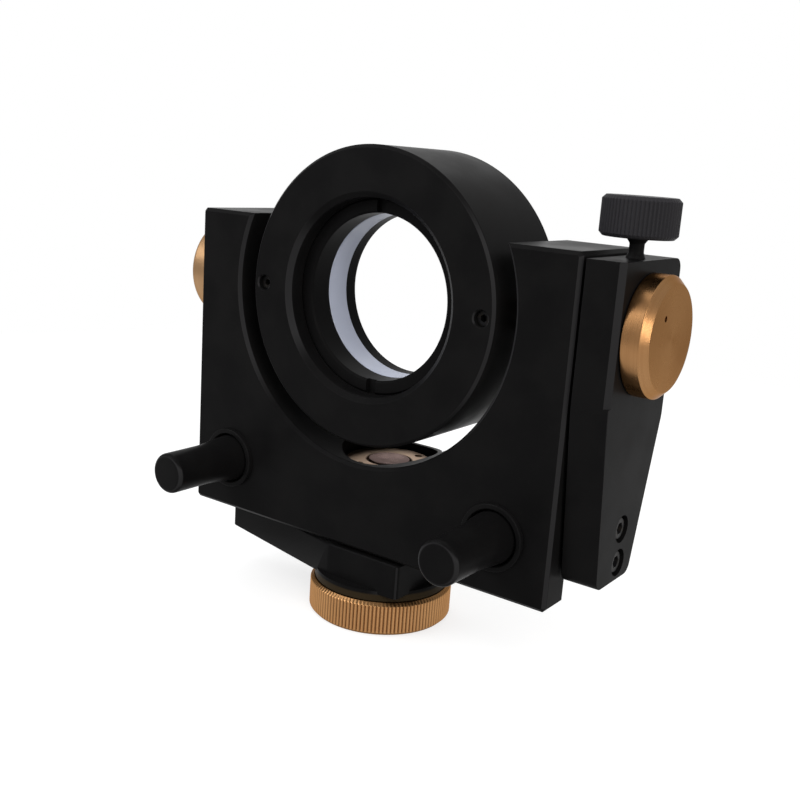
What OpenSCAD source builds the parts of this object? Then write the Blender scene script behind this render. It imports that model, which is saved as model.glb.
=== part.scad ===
// Gimbal mirror mount: a round cell turns on level trunnions in a U-shaped frame, and the frame
// turns on an upright shaft. Each axis has a coarse turn, held by a clamp, and a fine turn, driven
// by a tangent arm whose foot an adjuster screw pushes.
// The origin is the point where the two axes cross. The optic looks along -Y, and +Z is up.

/* [Optic and cell] */
// Diameter of the optic that the cell holds
optic_d = 50.8; // [48:0.1:52]
// Radial room round the optic in the cell's thread
optic_clear = 0.4; // [0.2:0.05:0.8]
// Step from the thread up to the plain mouth of the cell, on the radius
mouth_step = 0.2; // [0.1:0.05:0.6]
// Wall of the cell outside its thread
cell_wall = 13.3; // [11.5:0.1:14]
// Width of the lip and rings that carry the optic's rim
lip_w = 3.8; // [3:0.1:5]
// Distance from the axes to the cell's front face
cell_front = 16.15; // [15:0.05:17]
// Distance from the axes to the cell's back face
cell_back = 16.5; // [13:0.1:17]
// Distance from the axes back to the face that the seat ring rests on
seat_back = 4; // [3:0.1:5]
// Thickness of the cell's lip
lip_t = 4; // [3:0.1:5]
// Thickness of the seat ring
seat_ring_t = 7.8; // [6:0.1:8]
// Thickness of the retaining ring
retaining_t = 7.2; // [5:0.1:7.5]
// Chamfer on the cell's outer edges
cell_edge = 0.8; // [0.4:0.1:2]
// Chamfer at the mouth of the cell
mouth_edge = 1.4; // [0.6:0.1:2]
// Depth of the two slots across the retaining ring's face
wrench_slot = 1.2; // [0.6:0.1:2]

/* [Trunnions] */
// Diameter of the two level shafts
trunnion_d = 8; // [6:0.1:9]
// Depth of each shaft in the cell's wall
trunnion_depth = 9.3; // [7:0.1:10.5]
// Wall of the trunnion bushes
bush_wall = 3; // [2:0.1:4]
// Diameter of the bronze discs on the two sides
side_disc_d = 29; // [25:0.5:30]
// Thickness of the left bearing's disc
left_disc_t = 5.8; // [4:0.1:7]
// Thickness of the right disc
right_disc_t = 6.2; // [3:0.1:8]
// Diameter of the screws that hold the cell on its shafts
grub_d = 4; // [3:0.1:4]

/* [Frame] */
// Room between the sweep of the turning cell and the frame
cell_gap = 2.06; // [1.5:0.01:4]
// Width of each upright arm beside the round cut
arm_wall = 15.6; // [13:0.1:17]
// Depth of the frame, front to back
frame_d = 32; // [29:0.5:36]
// Height of the arms above the level axis
arm_top = 18.6; // [15:0.1:22]
// Depth of the thick arms below the level axis
arm_drop = 42.6; // [41.5:0.1:43]
// Thickness of the lower plate
plate_t = 9; // [8:0.1:10]
// Chamfer on the frame's edges
frame_edge = 0.9; // [0.4:0.1:2]
// Radius where the thick arms meet the lower plate
relief_r = 4; // [1:0.5:6]

/* [Upright bearing] */
// Height of the bearing boss
boss_h = 22.1; // [18:0.1:24]
// Wall of the boss round the bearing disc
boss_wall = 2.3; // [2:0.1:4]
// Depth of the spot face below the bottom of the round cut
spot_depth = 1.8; // [1:0.1:3]
// Diameter of the bearing disc
disc_d = 24.6; // [23:0.1:26]
// Thickness of the bearing disc
disc_t = 3.7; // [3:0.1:5]
// Distance of the wrench holes from the middle of the disc
wrench_r = 9.8; // [9:0.1:10.5]
// Diameter of the upright shaft
shaft_d = 12.6; // [11:0.1:13]
// Thickness of the shaft's flange under the bearing disc
flange_t = 1.7; // [1:0.1:3]
// Wall of the lower bush
lower_bush_wall = 2.65; // [2:0.05:3]
// Thickness of the lower bush's thrust flange
thrust_t = 0.8; // [0.5:0.1:1.5]

/* [Tangent arms] */
// Distance from the upright axis to the left adjuster, which drives the yaw arm
yaw_lever = 46; // [44:0.5:47]
// Distance from the frame's side in to the right adjuster
pitch_inset = 16.1; // [15:0.1:18]
// Distance from the level axis to the right adjuster
pitch_lever = 53; // [52:0.5:54]
// Length of each arm past its adjuster
arm_end = 8.2; // [7:0.1:9]
// Thickness of the pitch arm
pitch_arm_t = 9.3; // [8.6:0.1:11]
// Thickness of the yaw arm
yaw_arm_t = 9.7; // [8:0.1:11]
// Gap between the frame's side and the pitch arm
pitch_arm_gap = 1; // [0.8:0.1:2.5]
// Height of the pitch arm above the level axis
pitch_arm_top = 17.3; // [15:0.1:18]
// Distance from the axis to the front of each arm at its hub
hub_front = 16; // [14:0.1:17]
// Distance from the level axis to the back of the pitch arm at its hub
pitch_hub_back = 17.2; // [15:0.1:18]
// Distance from the upright axis to the back of the yaw arm at its hub
yaw_hub_back = 15; // [14:0.1:16]
// Distance from the pitch arm's middle to its front edge at the lower end
pitch_tip_front = 10.8; // [8:0.1:12]
// Distance from the yaw arm's middle to its front edge at the far end
yaw_tip_front = 5.4; // [4.5:0.1:8]
// Distance from the pitch arm's middle to its back edge at the lower end
pitch_tip_back = 7.6; // [4.2:0.1:8]
// Distance from the yaw arm's middle to its back edge at the far end
yaw_tip_back = 4.3; // [4.2:0.1:6]
// Length of the yaw arm on the far side of the shaft
yaw_arm_tail = 16.5; // [14:0.1:18]
// Chamfer on the arms' edges
arm_edge = 1.3; // [0.5:0.1:2]
// Radius of the arms' rounded corners
arm_round = 3; // [1:0.1:3.5]

/* [Feet and screws] */
// Distance from the adjuster's axis plane to the front of each foot
foot_front = 3; // [2.8:0.1:3.2]
// Distance from the axis plane to the back of each foot
foot_back = 4; // [3.5:0.1:4.2]
// Reach of the pitch foot from its arm
pitch_foot_reach = 23.1; // [22:0.1:25]
// Reach of the yaw foot from its arm
yaw_foot_reach = 20.7; // [19:0.1:22]
// Diameter of the cap screws' thread
screw_d = 3; // [2.5:0.1:3.2]
// Diameter of the cap screws' heads
screw_head_d = 5.6; // [5:0.1:6]
// Height of the cap screws' heads
screw_head_h = 3; // [2.5:0.1:3.5]
// Diameter of the pockets over the cap screws
pocket_d = 7; // [6.4:0.1:7.4]
// Depth of the pockets
pocket_depth = 3.6; // [3:0.1:4]
// Distance between the two cap screws of a foot
screw_pitch = 8.7; // [8:0.1:9]
// Distance from the pair's middle to the adjuster, towards the hub
screw_shift = 0.65; // [0:0.05:0.8]
// Length of the cap screws' thread in the foot
screw_grip = 7; // [5:0.1:8]

/* [Adjusters] */
// Length of each adjuster knob
knob_l = 25.7; // [20:0.1:28]
// Depth of the knob's wide end in its collar
knob_sink = 1; // [0.5:0.1:1.4]
// Diameter of the knob's tip
knob_tip_d = 11.3; // [9:0.1:12]
// Diameter of the knob's wide end
knob_base_d = 13.4; // [12:0.1:13.8]
// Length of the straight stretch behind the tip
knob_straight = 11; // [6:0.1:14]
// Rounding of the knob's tip
knob_edge = 1.3; // [0.5:0.1:2]
// Diameter of the adjuster spindles
spindle_d = 6; // [5:0.1:6.4]
// Diameter of the thrust balls
ball_d = 4; // [3:0.1:4.4]
// Room for the knob in the collar's cup, on the radius
cup_room = 0.5; // [0.3:0.05:0.8]
// Wall of the collar's cup
cup_wall = 0.8; // [0.6:0.1:1]
// Depth of the cup below the plate's front
cup_depth = 4.8; // [4.6:0.1:5]
// Width of the collar's flange past the cup wall
collar_lip = 0.7; // [0.4:0.1:1]
// Height of the collar's flange above the plate
collar_h = 1.3; // [0.8:0.1:2]
// Wall of the collar's threaded neck
neck_wall = 2; // [1.5:0.1:2.2]

/* [Return springs] */
// Distance from each adjuster to its return spring
spring_offset = 8.8; // [8.6:0.1:9]
// Outer diameter of the springs
spring_d = 3.7; // [3:0.1:4]
// Diameter of the spring wire
wire_d = 0.5; // [0.3:0.05:0.6]
// Turns of each spring
spring_turns = 11; // [6:1:12]
// Diameter of the spring pins
pin_d = 1.2; // [1:0.1:1.5]

/* [Clamps] */
// Diameter of the thumb screw's head
thumb_d = 18.2; // [14:0.1:19]
// Height of the thumb screw's head
thumb_h = 9.4; // [6:0.1:10]
// Room between the pitch arm and the thumb screw's head
thumb_rise = 4.7; // [3:0.1:8]
// Diameter of the thumb screw's neck
thumb_neck_d = 3.5; // [2.5:0.1:4]
// Diameter of the thumb screw's foot and thread
thumb_thread_d = 4.6; // [4:0.1:5]
// Number of grooves round the thumb screw
thumb_grooves = 60; // [30:1:80]
// Height of the pressure pad
pad_h = 2.4; // [1.5:0.1:3]
// Diameter of the hub boss under the yaw arm
hub_d = 38.2; // [34:0.1:40]
// Height of the hub boss
hub_h = 2; // [2:0.1:5]
// Diameter of the base knob
base_d = 40.6; // [36:0.1:44]
// Height of the base knob
base_h = 9.45; // [8:0.05:12]
// Number of grooves round the base knob
base_grooves = 118; // [60:1:130]
// Depth of the knurled grooves
groove = 0.3; // [0.15:0.05:0.4]
// Chamfer on the knurled heads
head_edge = 1; // [0.5:0.1:2]
// Diameter of the tapped hole for a post
post_hole_d = 5; // [4:0.1:6]
// Depth of the tapped hole
post_hole_depth = 15; // [10:0.5:20]

/* [Fits] */
// Running clearance round shafts, spindles and screws that turn
running = 0.05; // [0.03:0.01:0.08]
// Clearance round pieces that are pressed or screwed home
seated = 0.02; // [0.01:0.01:0.05]

/* [Hidden] */

$fn = 96;
eps = 0.01;
fine = 180;

black = "#1b1b1d";
bronze = "#a9794b";
steel = "#9a9ca0";
white = "#b4bac8";

// Cell
thread_r = optic_d / 2 + optic_clear;
mouth_r = thread_r + mouth_step;
clear_r = thread_r - lip_w;
cell_r = thread_r + cell_wall;
ring_front = seat_back - seat_ring_t - retaining_t;
cell_sweep = norm([cell_r, max(cell_front, cell_back)]);
trunnion_r = trunnion_d / 2;
grub_x = cell_r - trunnion_depth / 2 + 0.85;

lip_back = seat_back + lip_t;
liner_edge = 0.5;
slot_w = 3;
grub_sink = 1.6;

// Frame
cut_r = cell_sweep + cell_gap;
half_w = cut_r + arm_wall;
pitch_side = half_w - pitch_inset;
half_d = frame_d / 2;
plate_back = plate_t - half_d;
bush_r = trunnion_r + bush_wall;
disc_top = -cut_r - spot_depth;
disc_bottom = disc_top - disc_t;
disc_r = disc_d / 2;
boss_r = disc_r + boss_wall;
frame_foot = disc_top - boss_h;

// Small edges, marks and reliefs
disc_edge = 0.5;
foot_edge = 0.6;
collar_edge = 0.4;
disc_bevel = 1.8;
disc_cover = 1.6;
mark_r = 5;
mark_d = 1.4;
wrench_d = 2.2;
wrench_turn = 68;
shaft_proud = 0.3;
shaft_inset = 0.3;
groove_depth = 0.5;
groove_w = 0.9;
seat_flat = 0.4;
neck_round = 1.2;

// Upright stack, from the top down
shaft_r = shaft_d / 2;
lower_bush_r = shaft_r + lower_bush_wall;
flange_top = disc_bottom - running;
bush_top = flange_top - flange_t - running;
thrust_bottom = frame_foot - thrust_t;
yaw_arm_z = thrust_bottom - 2 * running;
yaw_arm_foot = yaw_arm_z - yaw_arm_t;
hub_foot = yaw_arm_foot - hub_h;
base_top = hub_foot - running;
base_foot = base_top - base_h;

// Level stack, from the frame's right side outwards
pitch_arm_x = half_w + pitch_arm_gap;
pitch_arm_out = pitch_arm_x + pitch_arm_t;
disc_gap = 4 * running;
right_disc_x = pitch_arm_out + disc_gap;
thumb_x = pitch_arm_x + pitch_arm_t / 2;
thumb_foot_z = pitch_arm_top + running;
thumb_head_z = pitch_arm_top + thumb_rise;
pad_top = trunnion_r + running + pad_h;

// Where the tapers of the arms start, from the axis
kink_front = 17;
kink_back = 22;
kink_yaw = 7.3;

// Adjusters
drive_z = -pitch_lever;
foot_mid = (foot_back - foot_front) / 2;
screw_places = [for (side = [-1, 1]) screw_shift + side * screw_pitch / 2];
spindle_r = spindle_d / 2;
ball_r = ball_d / 2;
ball_y = -foot_front - running - ball_r;
knob_back = -half_d + knob_sink;
knob_front = knob_back - knob_l;
cup_r = knob_base_d / 2 + cup_room;
collar_r = cup_r + cup_wall;
neck_r = spindle_r + running + neck_wall;
cup_floor = cup_depth - half_d;
cup_base = 0.6;
spindle_seat = 8;

// Springs
coil_r = (spring_d - wire_d) / 2;
hook_r = pin_d / 2 + wire_d / 2 + running;
plate_pin_y = plate_back - 2.4;
foot_pin_y = foot_back - 1.8;
spring_bore_r = spring_d / 2 + 0.55;
spring_pocket_r = spring_d / 2 + 1.15;
spring_pocket = 3.9;
pin_inset = 2.6;
pitch_spring_at = pitch_arm_x - pitch_side - spring_offset;
yaw_spring_at = drive_z - spring_offset - yaw_arm_z;

function unit(v) = v / norm(v);
function turned(v, a) = [v.x * cos(a) - v.y * sin(a), v.x * sin(a) + v.y * cos(a)];

// A corner at b between a and c: an arc of the given size, or a chamfer where steps is 1
function corner(a, b, c, size, steps) =
    size == 0 ? [b] :
    let (
        u = unit(a - b),
        w = unit(c - b),
        half = acos(u * w) / 2,
        centre = b + unit(u + w) * size / sin(half),
        from = b + u * size / tan(half) - centre,
        side = cross(u, w) < 0 ? 1 : -1
    )
    [for (i = [0:steps]) centre + turned(from, side * (180 - 2 * half) * i / steps)];

// A closed outline whose corners are cut: cuts holds [size, steps] for each point
function outline(points, cuts) =
    let (n = len(points))
    [
        for (i = [0:n - 1])
            each corner(points[(i + n - 1) % n], points[i], points[(i + 1) % n], cuts[i][0], cuts[i][1])
    ];

// Sweeps a ring of points along a path, carrying the ring round the bends without twist
function tangent(path, i) = unit(path[min(i + 1, len(path) - 1)] - path[max(i - 1, 0)]);
function flat_to(v, t) = unit(v - t * (v * t));
function rings(path, r, sides, start) =
    [
        for (
            i = 0, n = flat_to(start, tangent(path, 0));
            i < len(path);
            i = i + 1, n = i < len(path) ? flat_to(n, tangent(path, i)) : n
        )
            let (b = cross(tangent(path, i), n))
            [for (k = [0:sides - 1]) path[i] + r * (n * cos(360 * k / sides) + b * sin(360 * k / sides))]
    ];

module tube(path, r, sides, start) {
    loops = rings(path, r, sides, start);
    last = (len(path) - 1) * sides;
    walls = [
        for (i = [0:len(path) - 2], k = [0:sides - 1])
            let (a = i * sides + k, b = i * sides + (k + 1) % sides)
            [a, a + sides, b + sides, b]
    ];
    polyhedron(
        points = [for (loop = loops) each loop],
        faces = concat(
            walls,
            [[for (k = [0:sides - 1]) k]],
            [[for (k = [sides - 1:-1:0]) last + k]]
        )
    );
}

// Turns a shape that stands along Z so that it lies along X or Y
module along_x() rotate([0, 90, 0]) children();
module along_y() rotate([-90, 0, 0]) children();

// Extrudes an outline drawn in Y and Z from x0 to x1
module slab_x(points, x0, x1)
    translate([x0, 0, 0])
        rotate([90, 0, 90])
            linear_extrude(x1 - x0)
                polygon(points);

// Extrudes an outline drawn in X and Z from y0 to y1
module slab_y(points, y0, y1)
    translate([0, y1, 0])
        rotate([90, 0, 0])
            linear_extrude(y1 - y0)
                polygon(points);

// Extrudes an outline drawn in X and Y from z0 to z1
module slab_z(points, z0, z1)
    translate([0, 0, z0])
        linear_extrude(z1 - z0)
            polygon(points);

// A rod or hole along Y between two places
module rod_y(r, y0, y1) translate([0, y0, 0]) along_y() cylinder(r = r, h = y1 - y0);
module rod_x(r, x0, x1) translate([x0, 0, 0]) along_x() cylinder(r = r, h = x1 - x0);
module rod_z(r, z0, z1) translate([0, 0, z0]) cylinder(r = r, h = z1 - z0);

// The places of the two adjusters and of the springs beside them
module at_pitch_adjuster() translate([pitch_side, 0, drive_z]) children();
module at_yaw_adjuster() translate([-yaw_lever, 0, drive_z]) children();
module at_pitch_spring() translate([pitch_side + spring_offset, 0, drive_z]) children();
module at_yaw_spring() translate([-yaw_lever, 0, drive_z - spring_offset]) children();

// Cuts a chamfer off an upright edge whose outside is towards +X and -Y
module edge_cut(size, h)
    rotate(45)
        translate([-size, -size, 0])
            cube([2 * size, size + size / sqrt(2), h]);

// A washer-shaped ring about Z with both outer edges chamfered
module disc_profile(r, bore, h, edge)
    rotate_extrude($fn = fine)
        polygon([
            [bore, 0], [r - edge, 0], [r, edge], [r, h - edge], [r - edge, h], [bore, h]
        ]);

// A head with straight grooves between two plain chamfers, standing on Z = 0
module knurled_head(r, h, grooves, edge) {
    root = r - groove;
    band = [
        for (i = [0:grooves - 1])
            each [
                r * [cos(360 * i / grooves), sin(360 * i / grooves)],
                root * [cos(360 * (i + 0.5) / grooves), sin(360 * (i + 0.5) / grooves)]
            ]
    ];
    translate([0, 0, edge])
        linear_extrude(h - 2 * edge)
            polygon(band);
    for (end = [0, 1])
        translate([0, 0, end * h])
            mirror([0, 0, end])
                cylinder(r1 = r - edge, r2 = root - groove / 2, h = edge + eps, $fn = fine);
}

// ---- Frame ----

module frame_blank() {
    side = outline(
        [
            [-half_d, frame_foot], [plate_back, frame_foot], [plate_back, -arm_drop],
            [half_d, -arm_drop], [half_d, arm_top], [-half_d, arm_top]
        ],
        [[frame_edge, 1], [0, 1], [relief_r, 6], [frame_edge, 1], [frame_edge, 1], [frame_edge, 1]]
    );
    front = outline(
        [[-half_w, frame_foot], [half_w, frame_foot], [half_w, arm_top], [-half_w, arm_top]],
        [for (i = [0:3]) [frame_edge, 1]]
    );
    plan = outline(
        [[-half_w, -half_d], [half_w, -half_d], [half_w, half_d], [-half_w, half_d]],
        [for (i = [0:3]) [frame_edge, 1]]
    );
    intersection() {
        slab_x(side, -half_w - 1, half_w + 1);
        slab_y(front, -half_d - 1, half_d + 1);
        slab_z(plan, frame_foot - 1, arm_top + 1);
    }
    rod_z(boss_r, frame_foot, 1 - arm_drop);
}

module round_cut() {
    rod_y(cut_r, -half_d - 1, half_d + 1, $fn = fine);
    for (end = [0, 1])
        mirror([0, end, 0])
            translate([0, -half_d - eps, 0])
                along_y()
                    cylinder(r1 = cut_r + frame_edge, r2 = cut_r, h = frame_edge, $fn = fine);
}

module bearing_bores() {
    rod_z(disc_r + boss_wall / 2, disc_top, 0);
    rod_z(disc_r + seated, disc_bottom, 0);
    rod_z(lower_bush_r + seated, frame_foot - 1, 0);
}

module collar_bore() {
    rod_y(collar_r + seated, -half_d - 1, cup_floor);
    rod_y(neck_r + seated, -half_d - 1, plate_back + 1);
}

module plate_spring_pocket() rod_y(spring_pocket_r, plate_back - spring_pocket, plate_back + 1);

module u_frame()
    color(black)
    difference() {
        frame_blank();
        round_cut();
        bearing_bores();
        rod_x(bush_r + seated, -half_w - 1, half_w + 1);
        at_pitch_adjuster() collar_bore();
        at_yaw_adjuster() collar_bore();
        at_pitch_spring() plate_spring_pocket();
        at_yaw_spring() plate_spring_pocket();
        translate([0, plate_pin_y, drive_z])
            rod_x(pin_d / 2 + seated, pitch_side + spring_offset - pin_inset, half_w + 1);
        translate([-yaw_lever, plate_pin_y, 0])
            rod_z(pin_d / 2 + seated, frame_foot - 1, drive_z - spring_offset + pin_inset);
    }

// ---- Cell ----

module cell_ring()
    color(black)
    difference() {
        along_y()
            rotate_extrude($fn = fine)
                polygon([
                    [mouth_r + mouth_edge, -cell_front], [cell_r - cell_edge, -cell_front],
                    [cell_r, cell_edge - cell_front], [cell_r, cell_back - cell_edge],
                    [cell_r - cell_edge, cell_back], [clear_r + cell_back - lip_back, cell_back],
                    [clear_r, lip_back], [clear_r, seat_back], [thread_r, seat_back],
                    [thread_r, ring_front], [mouth_r, ring_front], [mouth_r, mouth_edge - cell_front]
                ]);
        for (side = [0, 1])
            mirror([side, 0, 0]) {
                rod_x(trunnion_r + seated, cell_r - trunnion_depth, cell_r + 1);
                translate([grub_x, 0, 0]) rod_y(grub_d / 2 + seated, -cell_front - 1, 0);
            }
    }

module cell_liner(y0, t) {
    translate([0, y0, 0])
        along_y()
            rotate_extrude($fn = fine)
                polygon([
                    [clear_r, liner_edge], [clear_r + liner_edge, 0],
                    [thread_r - seated - liner_edge, 0], [thread_r - seated, liner_edge],
                    [thread_r - seated, t], [clear_r, t]
                ]);
}

module retaining_ring()
    color(black)
    difference() {
        cell_liner(ring_front, retaining_t);
        translate([-slot_w / 2, ring_front - 1, -cell_r])
            cube([slot_w, wrench_slot + 1, 2 * cell_r]);
    }

module seat_ring() color(white) cell_liner(seat_back - seat_ring_t, seat_ring_t);

module grub_screws()
    color(steel)
    for (side = [-1, 1])
        translate([side * grub_x, 0, 0])
            difference() {
                rod_y(grub_d / 2, -cell_front + grub_sink, -trunnion_r - running);
                translate([0, -cell_front + grub_sink - eps, 0])
                    along_y()
                        cylinder(r = grub_d / 4, h = grub_d / 2, $fn = 6);
            }

// ---- Level axis ----

module left_trunnion()
    color(steel)
    difference() {
        rod_x(trunnion_r, -half_w - left_disc_t / 2, trunnion_depth - cell_r);
        translate([-grub_x, 0, 0]) rod_y(grub_d / 2, -cell_r, -trunnion_r + seat_flat);
    }

module right_trunnion()
    color(steel)
    difference() {
        rod_x(trunnion_r, cell_r - trunnion_depth, right_disc_x + right_disc_t - disc_cover);
        translate([grub_x, 0, 0]) rod_y(grub_d / 2, -cell_r, -trunnion_r + seat_flat);
    }

module left_bearing()
    color(bronze)
    difference() {
        union() {
            translate([-half_w - left_disc_t, 0, 0])
                along_x()
                    disc_profile(side_disc_d / 2, 0, left_disc_t, head_edge);
            rod_x(bush_r, -half_w - eps, -cut_r);
        }
        rod_x(trunnion_r + running, -half_w - left_disc_t / 2 - running, 0);
    }

module right_bush()
    color(bronze)
    difference() {
        union() {
            rod_x(bush_r, cut_r, half_w);
            rod_x(bush_r + bush_wall, half_w, pitch_arm_x - 2 * running);
        }
        rod_x(trunnion_r + running, 0, pitch_arm_x);
    }

module trunnion_disc()
    color(bronze)
    difference() {
        translate([right_disc_x, 0, 0])
            along_x()
                rotate_extrude($fn = fine)
                    polygon([
                        [0, 0], [side_disc_d / 2, 0], [side_disc_d / 2, right_disc_t - disc_bevel],
                        [side_disc_d / 2 - disc_bevel, right_disc_t], [0, right_disc_t]
                    ]);
        rod_x(trunnion_r + seated, 0, right_disc_x + right_disc_t - disc_cover + seated);
        translate([0, -mark_r, mark_r])
            rod_x(mark_d / 2, right_disc_x + right_disc_t - mark_d / 2, right_disc_x + right_disc_t + 1);
    }

// ---- Pitch arm ----

module pitch_arm() {
    plate = outline(
        [
            [-hub_front, pitch_arm_top], [-hub_front, -kink_front],
            [-pitch_tip_front, drive_z - arm_end], [pitch_tip_back, drive_z - arm_end],
            [pitch_hub_back, -kink_back], [pitch_hub_back, pitch_arm_top]
        ],
        [[0, 1], [0, 1], [arm_round, 6], [arm_round, 6], [2 * arm_round, 6], [arm_round, 6]]
    );
    color(black)
    difference() {
        slab_x(plate, pitch_arm_x, pitch_arm_out);
        translate([pitch_arm_out, -hub_front, arm_edge - kink_front])
            edge_cut(arm_edge, pitch_arm_top + kink_front);
        rod_x(trunnion_r + running, 0, right_disc_x);
        translate([thumb_x, 0, 0]) rod_z(thumb_thread_d / 2 + running, 0, pitch_arm_top + 1);
        for (z = screw_places)
            translate([0, foot_mid, z - pitch_lever]) {
                rod_x(screw_d / 2 + 4 * running, pitch_arm_x - 1, pitch_arm_out);
                rod_x(pocket_d / 2, pitch_arm_out - pocket_depth, pitch_arm_out + 1);
            }
    }
}

// A foot that stands on Z = 0, with its middle on the Z axis and its front towards -Y
module foot(reach, spring_at) {
    half = arm_end;
    plan = outline(
        [[-half, -foot_front], [half, -foot_front], [half, foot_back], [-half, foot_back]],
        [for (i = [0:3]) [foot_edge, 1]]
    );
    difference() {
        slab_z(plan, 0, reach);
        for (place = screw_places)
            translate([place, foot_mid, 0])
                rod_z(screw_d / 2 + seated, -1, screw_grip + 1);
        translate([0, 0, spring_at]) rod_y(spring_bore_r, -foot_front - 1, foot_back + 1);
        translate([0, foot_pin_y, 0]) rod_z(pin_d / 2 + seated, -1, spring_at + pin_inset);
    }
}

module on_pitch_arm()
    translate([pitch_arm_x, 0, drive_z])
        rotate([0, -90, 0])
            children();

module on_yaw_arm()
    translate([-yaw_lever, 0, yaw_arm_z])
        children();

module pitch_foot()
    color(black)
    on_pitch_arm()
    foot(pitch_foot_reach, pitch_spring_at);

module cap_screw(length)
    difference() {
        union() {
            rod_z(screw_d / 2, -length, eps);
            cylinder(r = screw_head_d / 2, h = screw_head_h);
        }
        translate([0, 0, screw_head_h / 2])
            cylinder(r = screw_head_d / 4, h = screw_head_h, $fn = 6);
    }

module pitch_screws()
    color(steel)
    for (z = screw_places)
        translate([pitch_arm_out - pocket_depth, foot_mid, z - pitch_lever])
            along_x()
                cap_screw(pitch_arm_t - pocket_depth + screw_grip);

module thumb_screw()
    color(black)
    translate([thumb_x, 0, 0]) {
        rotate_extrude()
            polygon(concat(
                [[0, pad_top + running], [thumb_thread_d / 2, pad_top + running]],
                [[thumb_thread_d / 2, thumb_foot_z]],
                [for (a = [0:15:90]) [
                    thumb_neck_d / 2 + neck_round * (1 - sin(a)),
                    thumb_foot_z + neck_round * (1 - cos(a))
                ]],
                [for (a = [90:-15:0]) [
                    thumb_neck_d / 2 + neck_round * (1 - sin(a)),
                    thumb_head_z + eps - neck_round * (1 - cos(a))
                ]],
                [[0, thumb_head_z + eps]]
            ));
        translate([0, 0, thumb_head_z])
            knurled_head(thumb_d / 2, thumb_h, thumb_grooves, head_edge);
    }

module pressure_pad()
    color(bronze)
    difference() {
        translate([thumb_x, 0, 0]) rod_z(thumb_thread_d / 2 - running, 0, pad_top);
        rod_x(trunnion_r + running, 0, right_disc_x);
    }

// ---- Adjusters ----

module collar()
    color(black)
    along_y()
        rotate_extrude()
            polygon([
                [cup_r, -half_d - collar_h + collar_edge], [cup_r + collar_edge, -half_d - collar_h],
                [collar_r + collar_lip - collar_edge, -half_d - collar_h],
                [collar_r + collar_lip, -half_d - collar_h + collar_edge],
                [collar_r + collar_lip, -half_d], [collar_r, -half_d], [collar_r, cup_floor],
                [neck_r, cup_floor], [neck_r, plate_back], [spindle_r + running, plate_back],
                [spindle_r + running, cup_floor - cup_base], [cup_r, cup_floor - cup_base]
            ]);

module spindle()
    color(steel)
    difference() {
        rod_y(spindle_r, knob_back - spindle_seat, ball_y - ball_r / 8);
        translate([0, ball_y, 0]) sphere(r = ball_r + running);
    }

module adjuster_knob() {
    flare = knob_l - knob_straight - knob_edge;
    tip_r = knob_tip_d / 2;
    grow = knob_base_d / 2 - tip_r;
    color(black)
    along_y()
        rotate_extrude()
            polygon(concat(
                [[0, knob_front]],
                [for (a = [0:15:90]) [
                    tip_r - knob_edge + knob_edge * sin(a),
                    knob_front + knob_edge * (1 - cos(a))
                ]],
                [for (t = [0:0.1:1]) [
                    tip_r + grow * (1 - cos(180 * t)) / 2,
                    knob_back - flare * (1 - t)
                ]],
                [
                    [spindle_r + seated, knob_back],
                    [spindle_r + seated, knob_back - spindle_seat - seated],
                    [0, knob_back - spindle_seat - seated]
                ]
            ));
}

module ball() color(steel) translate([0, ball_y, 0]) sphere(r = ball_r);

module pitch_collar() at_pitch_adjuster() collar();
module yaw_collar() at_yaw_adjuster() collar();
module pitch_spindle() at_pitch_adjuster() spindle();
module yaw_spindle() at_yaw_adjuster() spindle();
module pitch_knob() at_pitch_adjuster() adjuster_knob();
module yaw_knob() at_yaw_adjuster() adjuster_knob();
module pitch_ball() at_pitch_adjuster() ball();
module yaw_ball() at_yaw_adjuster() ball();

// ---- Upright axis ----

module bearing_disc()
    color(bronze)
    difference() {
        translate([0, 0, disc_bottom])
            disc_profile(disc_r, shaft_r + running, disc_t, disc_edge);
        for (a = [wrench_turn, wrench_turn + 180])
            rotate(a)
                translate([wrench_r, 0, 0])
                    rod_z(wrench_d / 2, disc_top - disc_t / 2, disc_top + 1);
    }

module upright_shaft()
    color(steel)
    difference() {
        union() {
            rod_z(shaft_r, base_foot + shaft_inset, disc_top + shaft_proud);
            rod_z(lower_bush_r - 2 * running, flange_top - flange_t, flange_top);
        }
        rod_z(post_hole_d / 2, base_foot - 1, base_foot + shaft_inset + post_hole_depth);
        translate([0, 0, disc_top + shaft_proud - groove_depth])
            difference() {
                cylinder(r = shaft_r - groove_w, h = 1);
                translate([0, 0, -1]) cylinder(r = shaft_r - 2 * groove_w, h = 3);
            }
    }

module lower_bush()
    color(bronze)
    difference() {
        union() {
            rod_z(lower_bush_r, frame_foot, bush_top);
            rod_z(lower_bush_r + lower_bush_wall, thrust_bottom, frame_foot);
        }
        rod_z(shaft_r + running, thrust_bottom - 1, bush_top + 1);
    }

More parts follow.
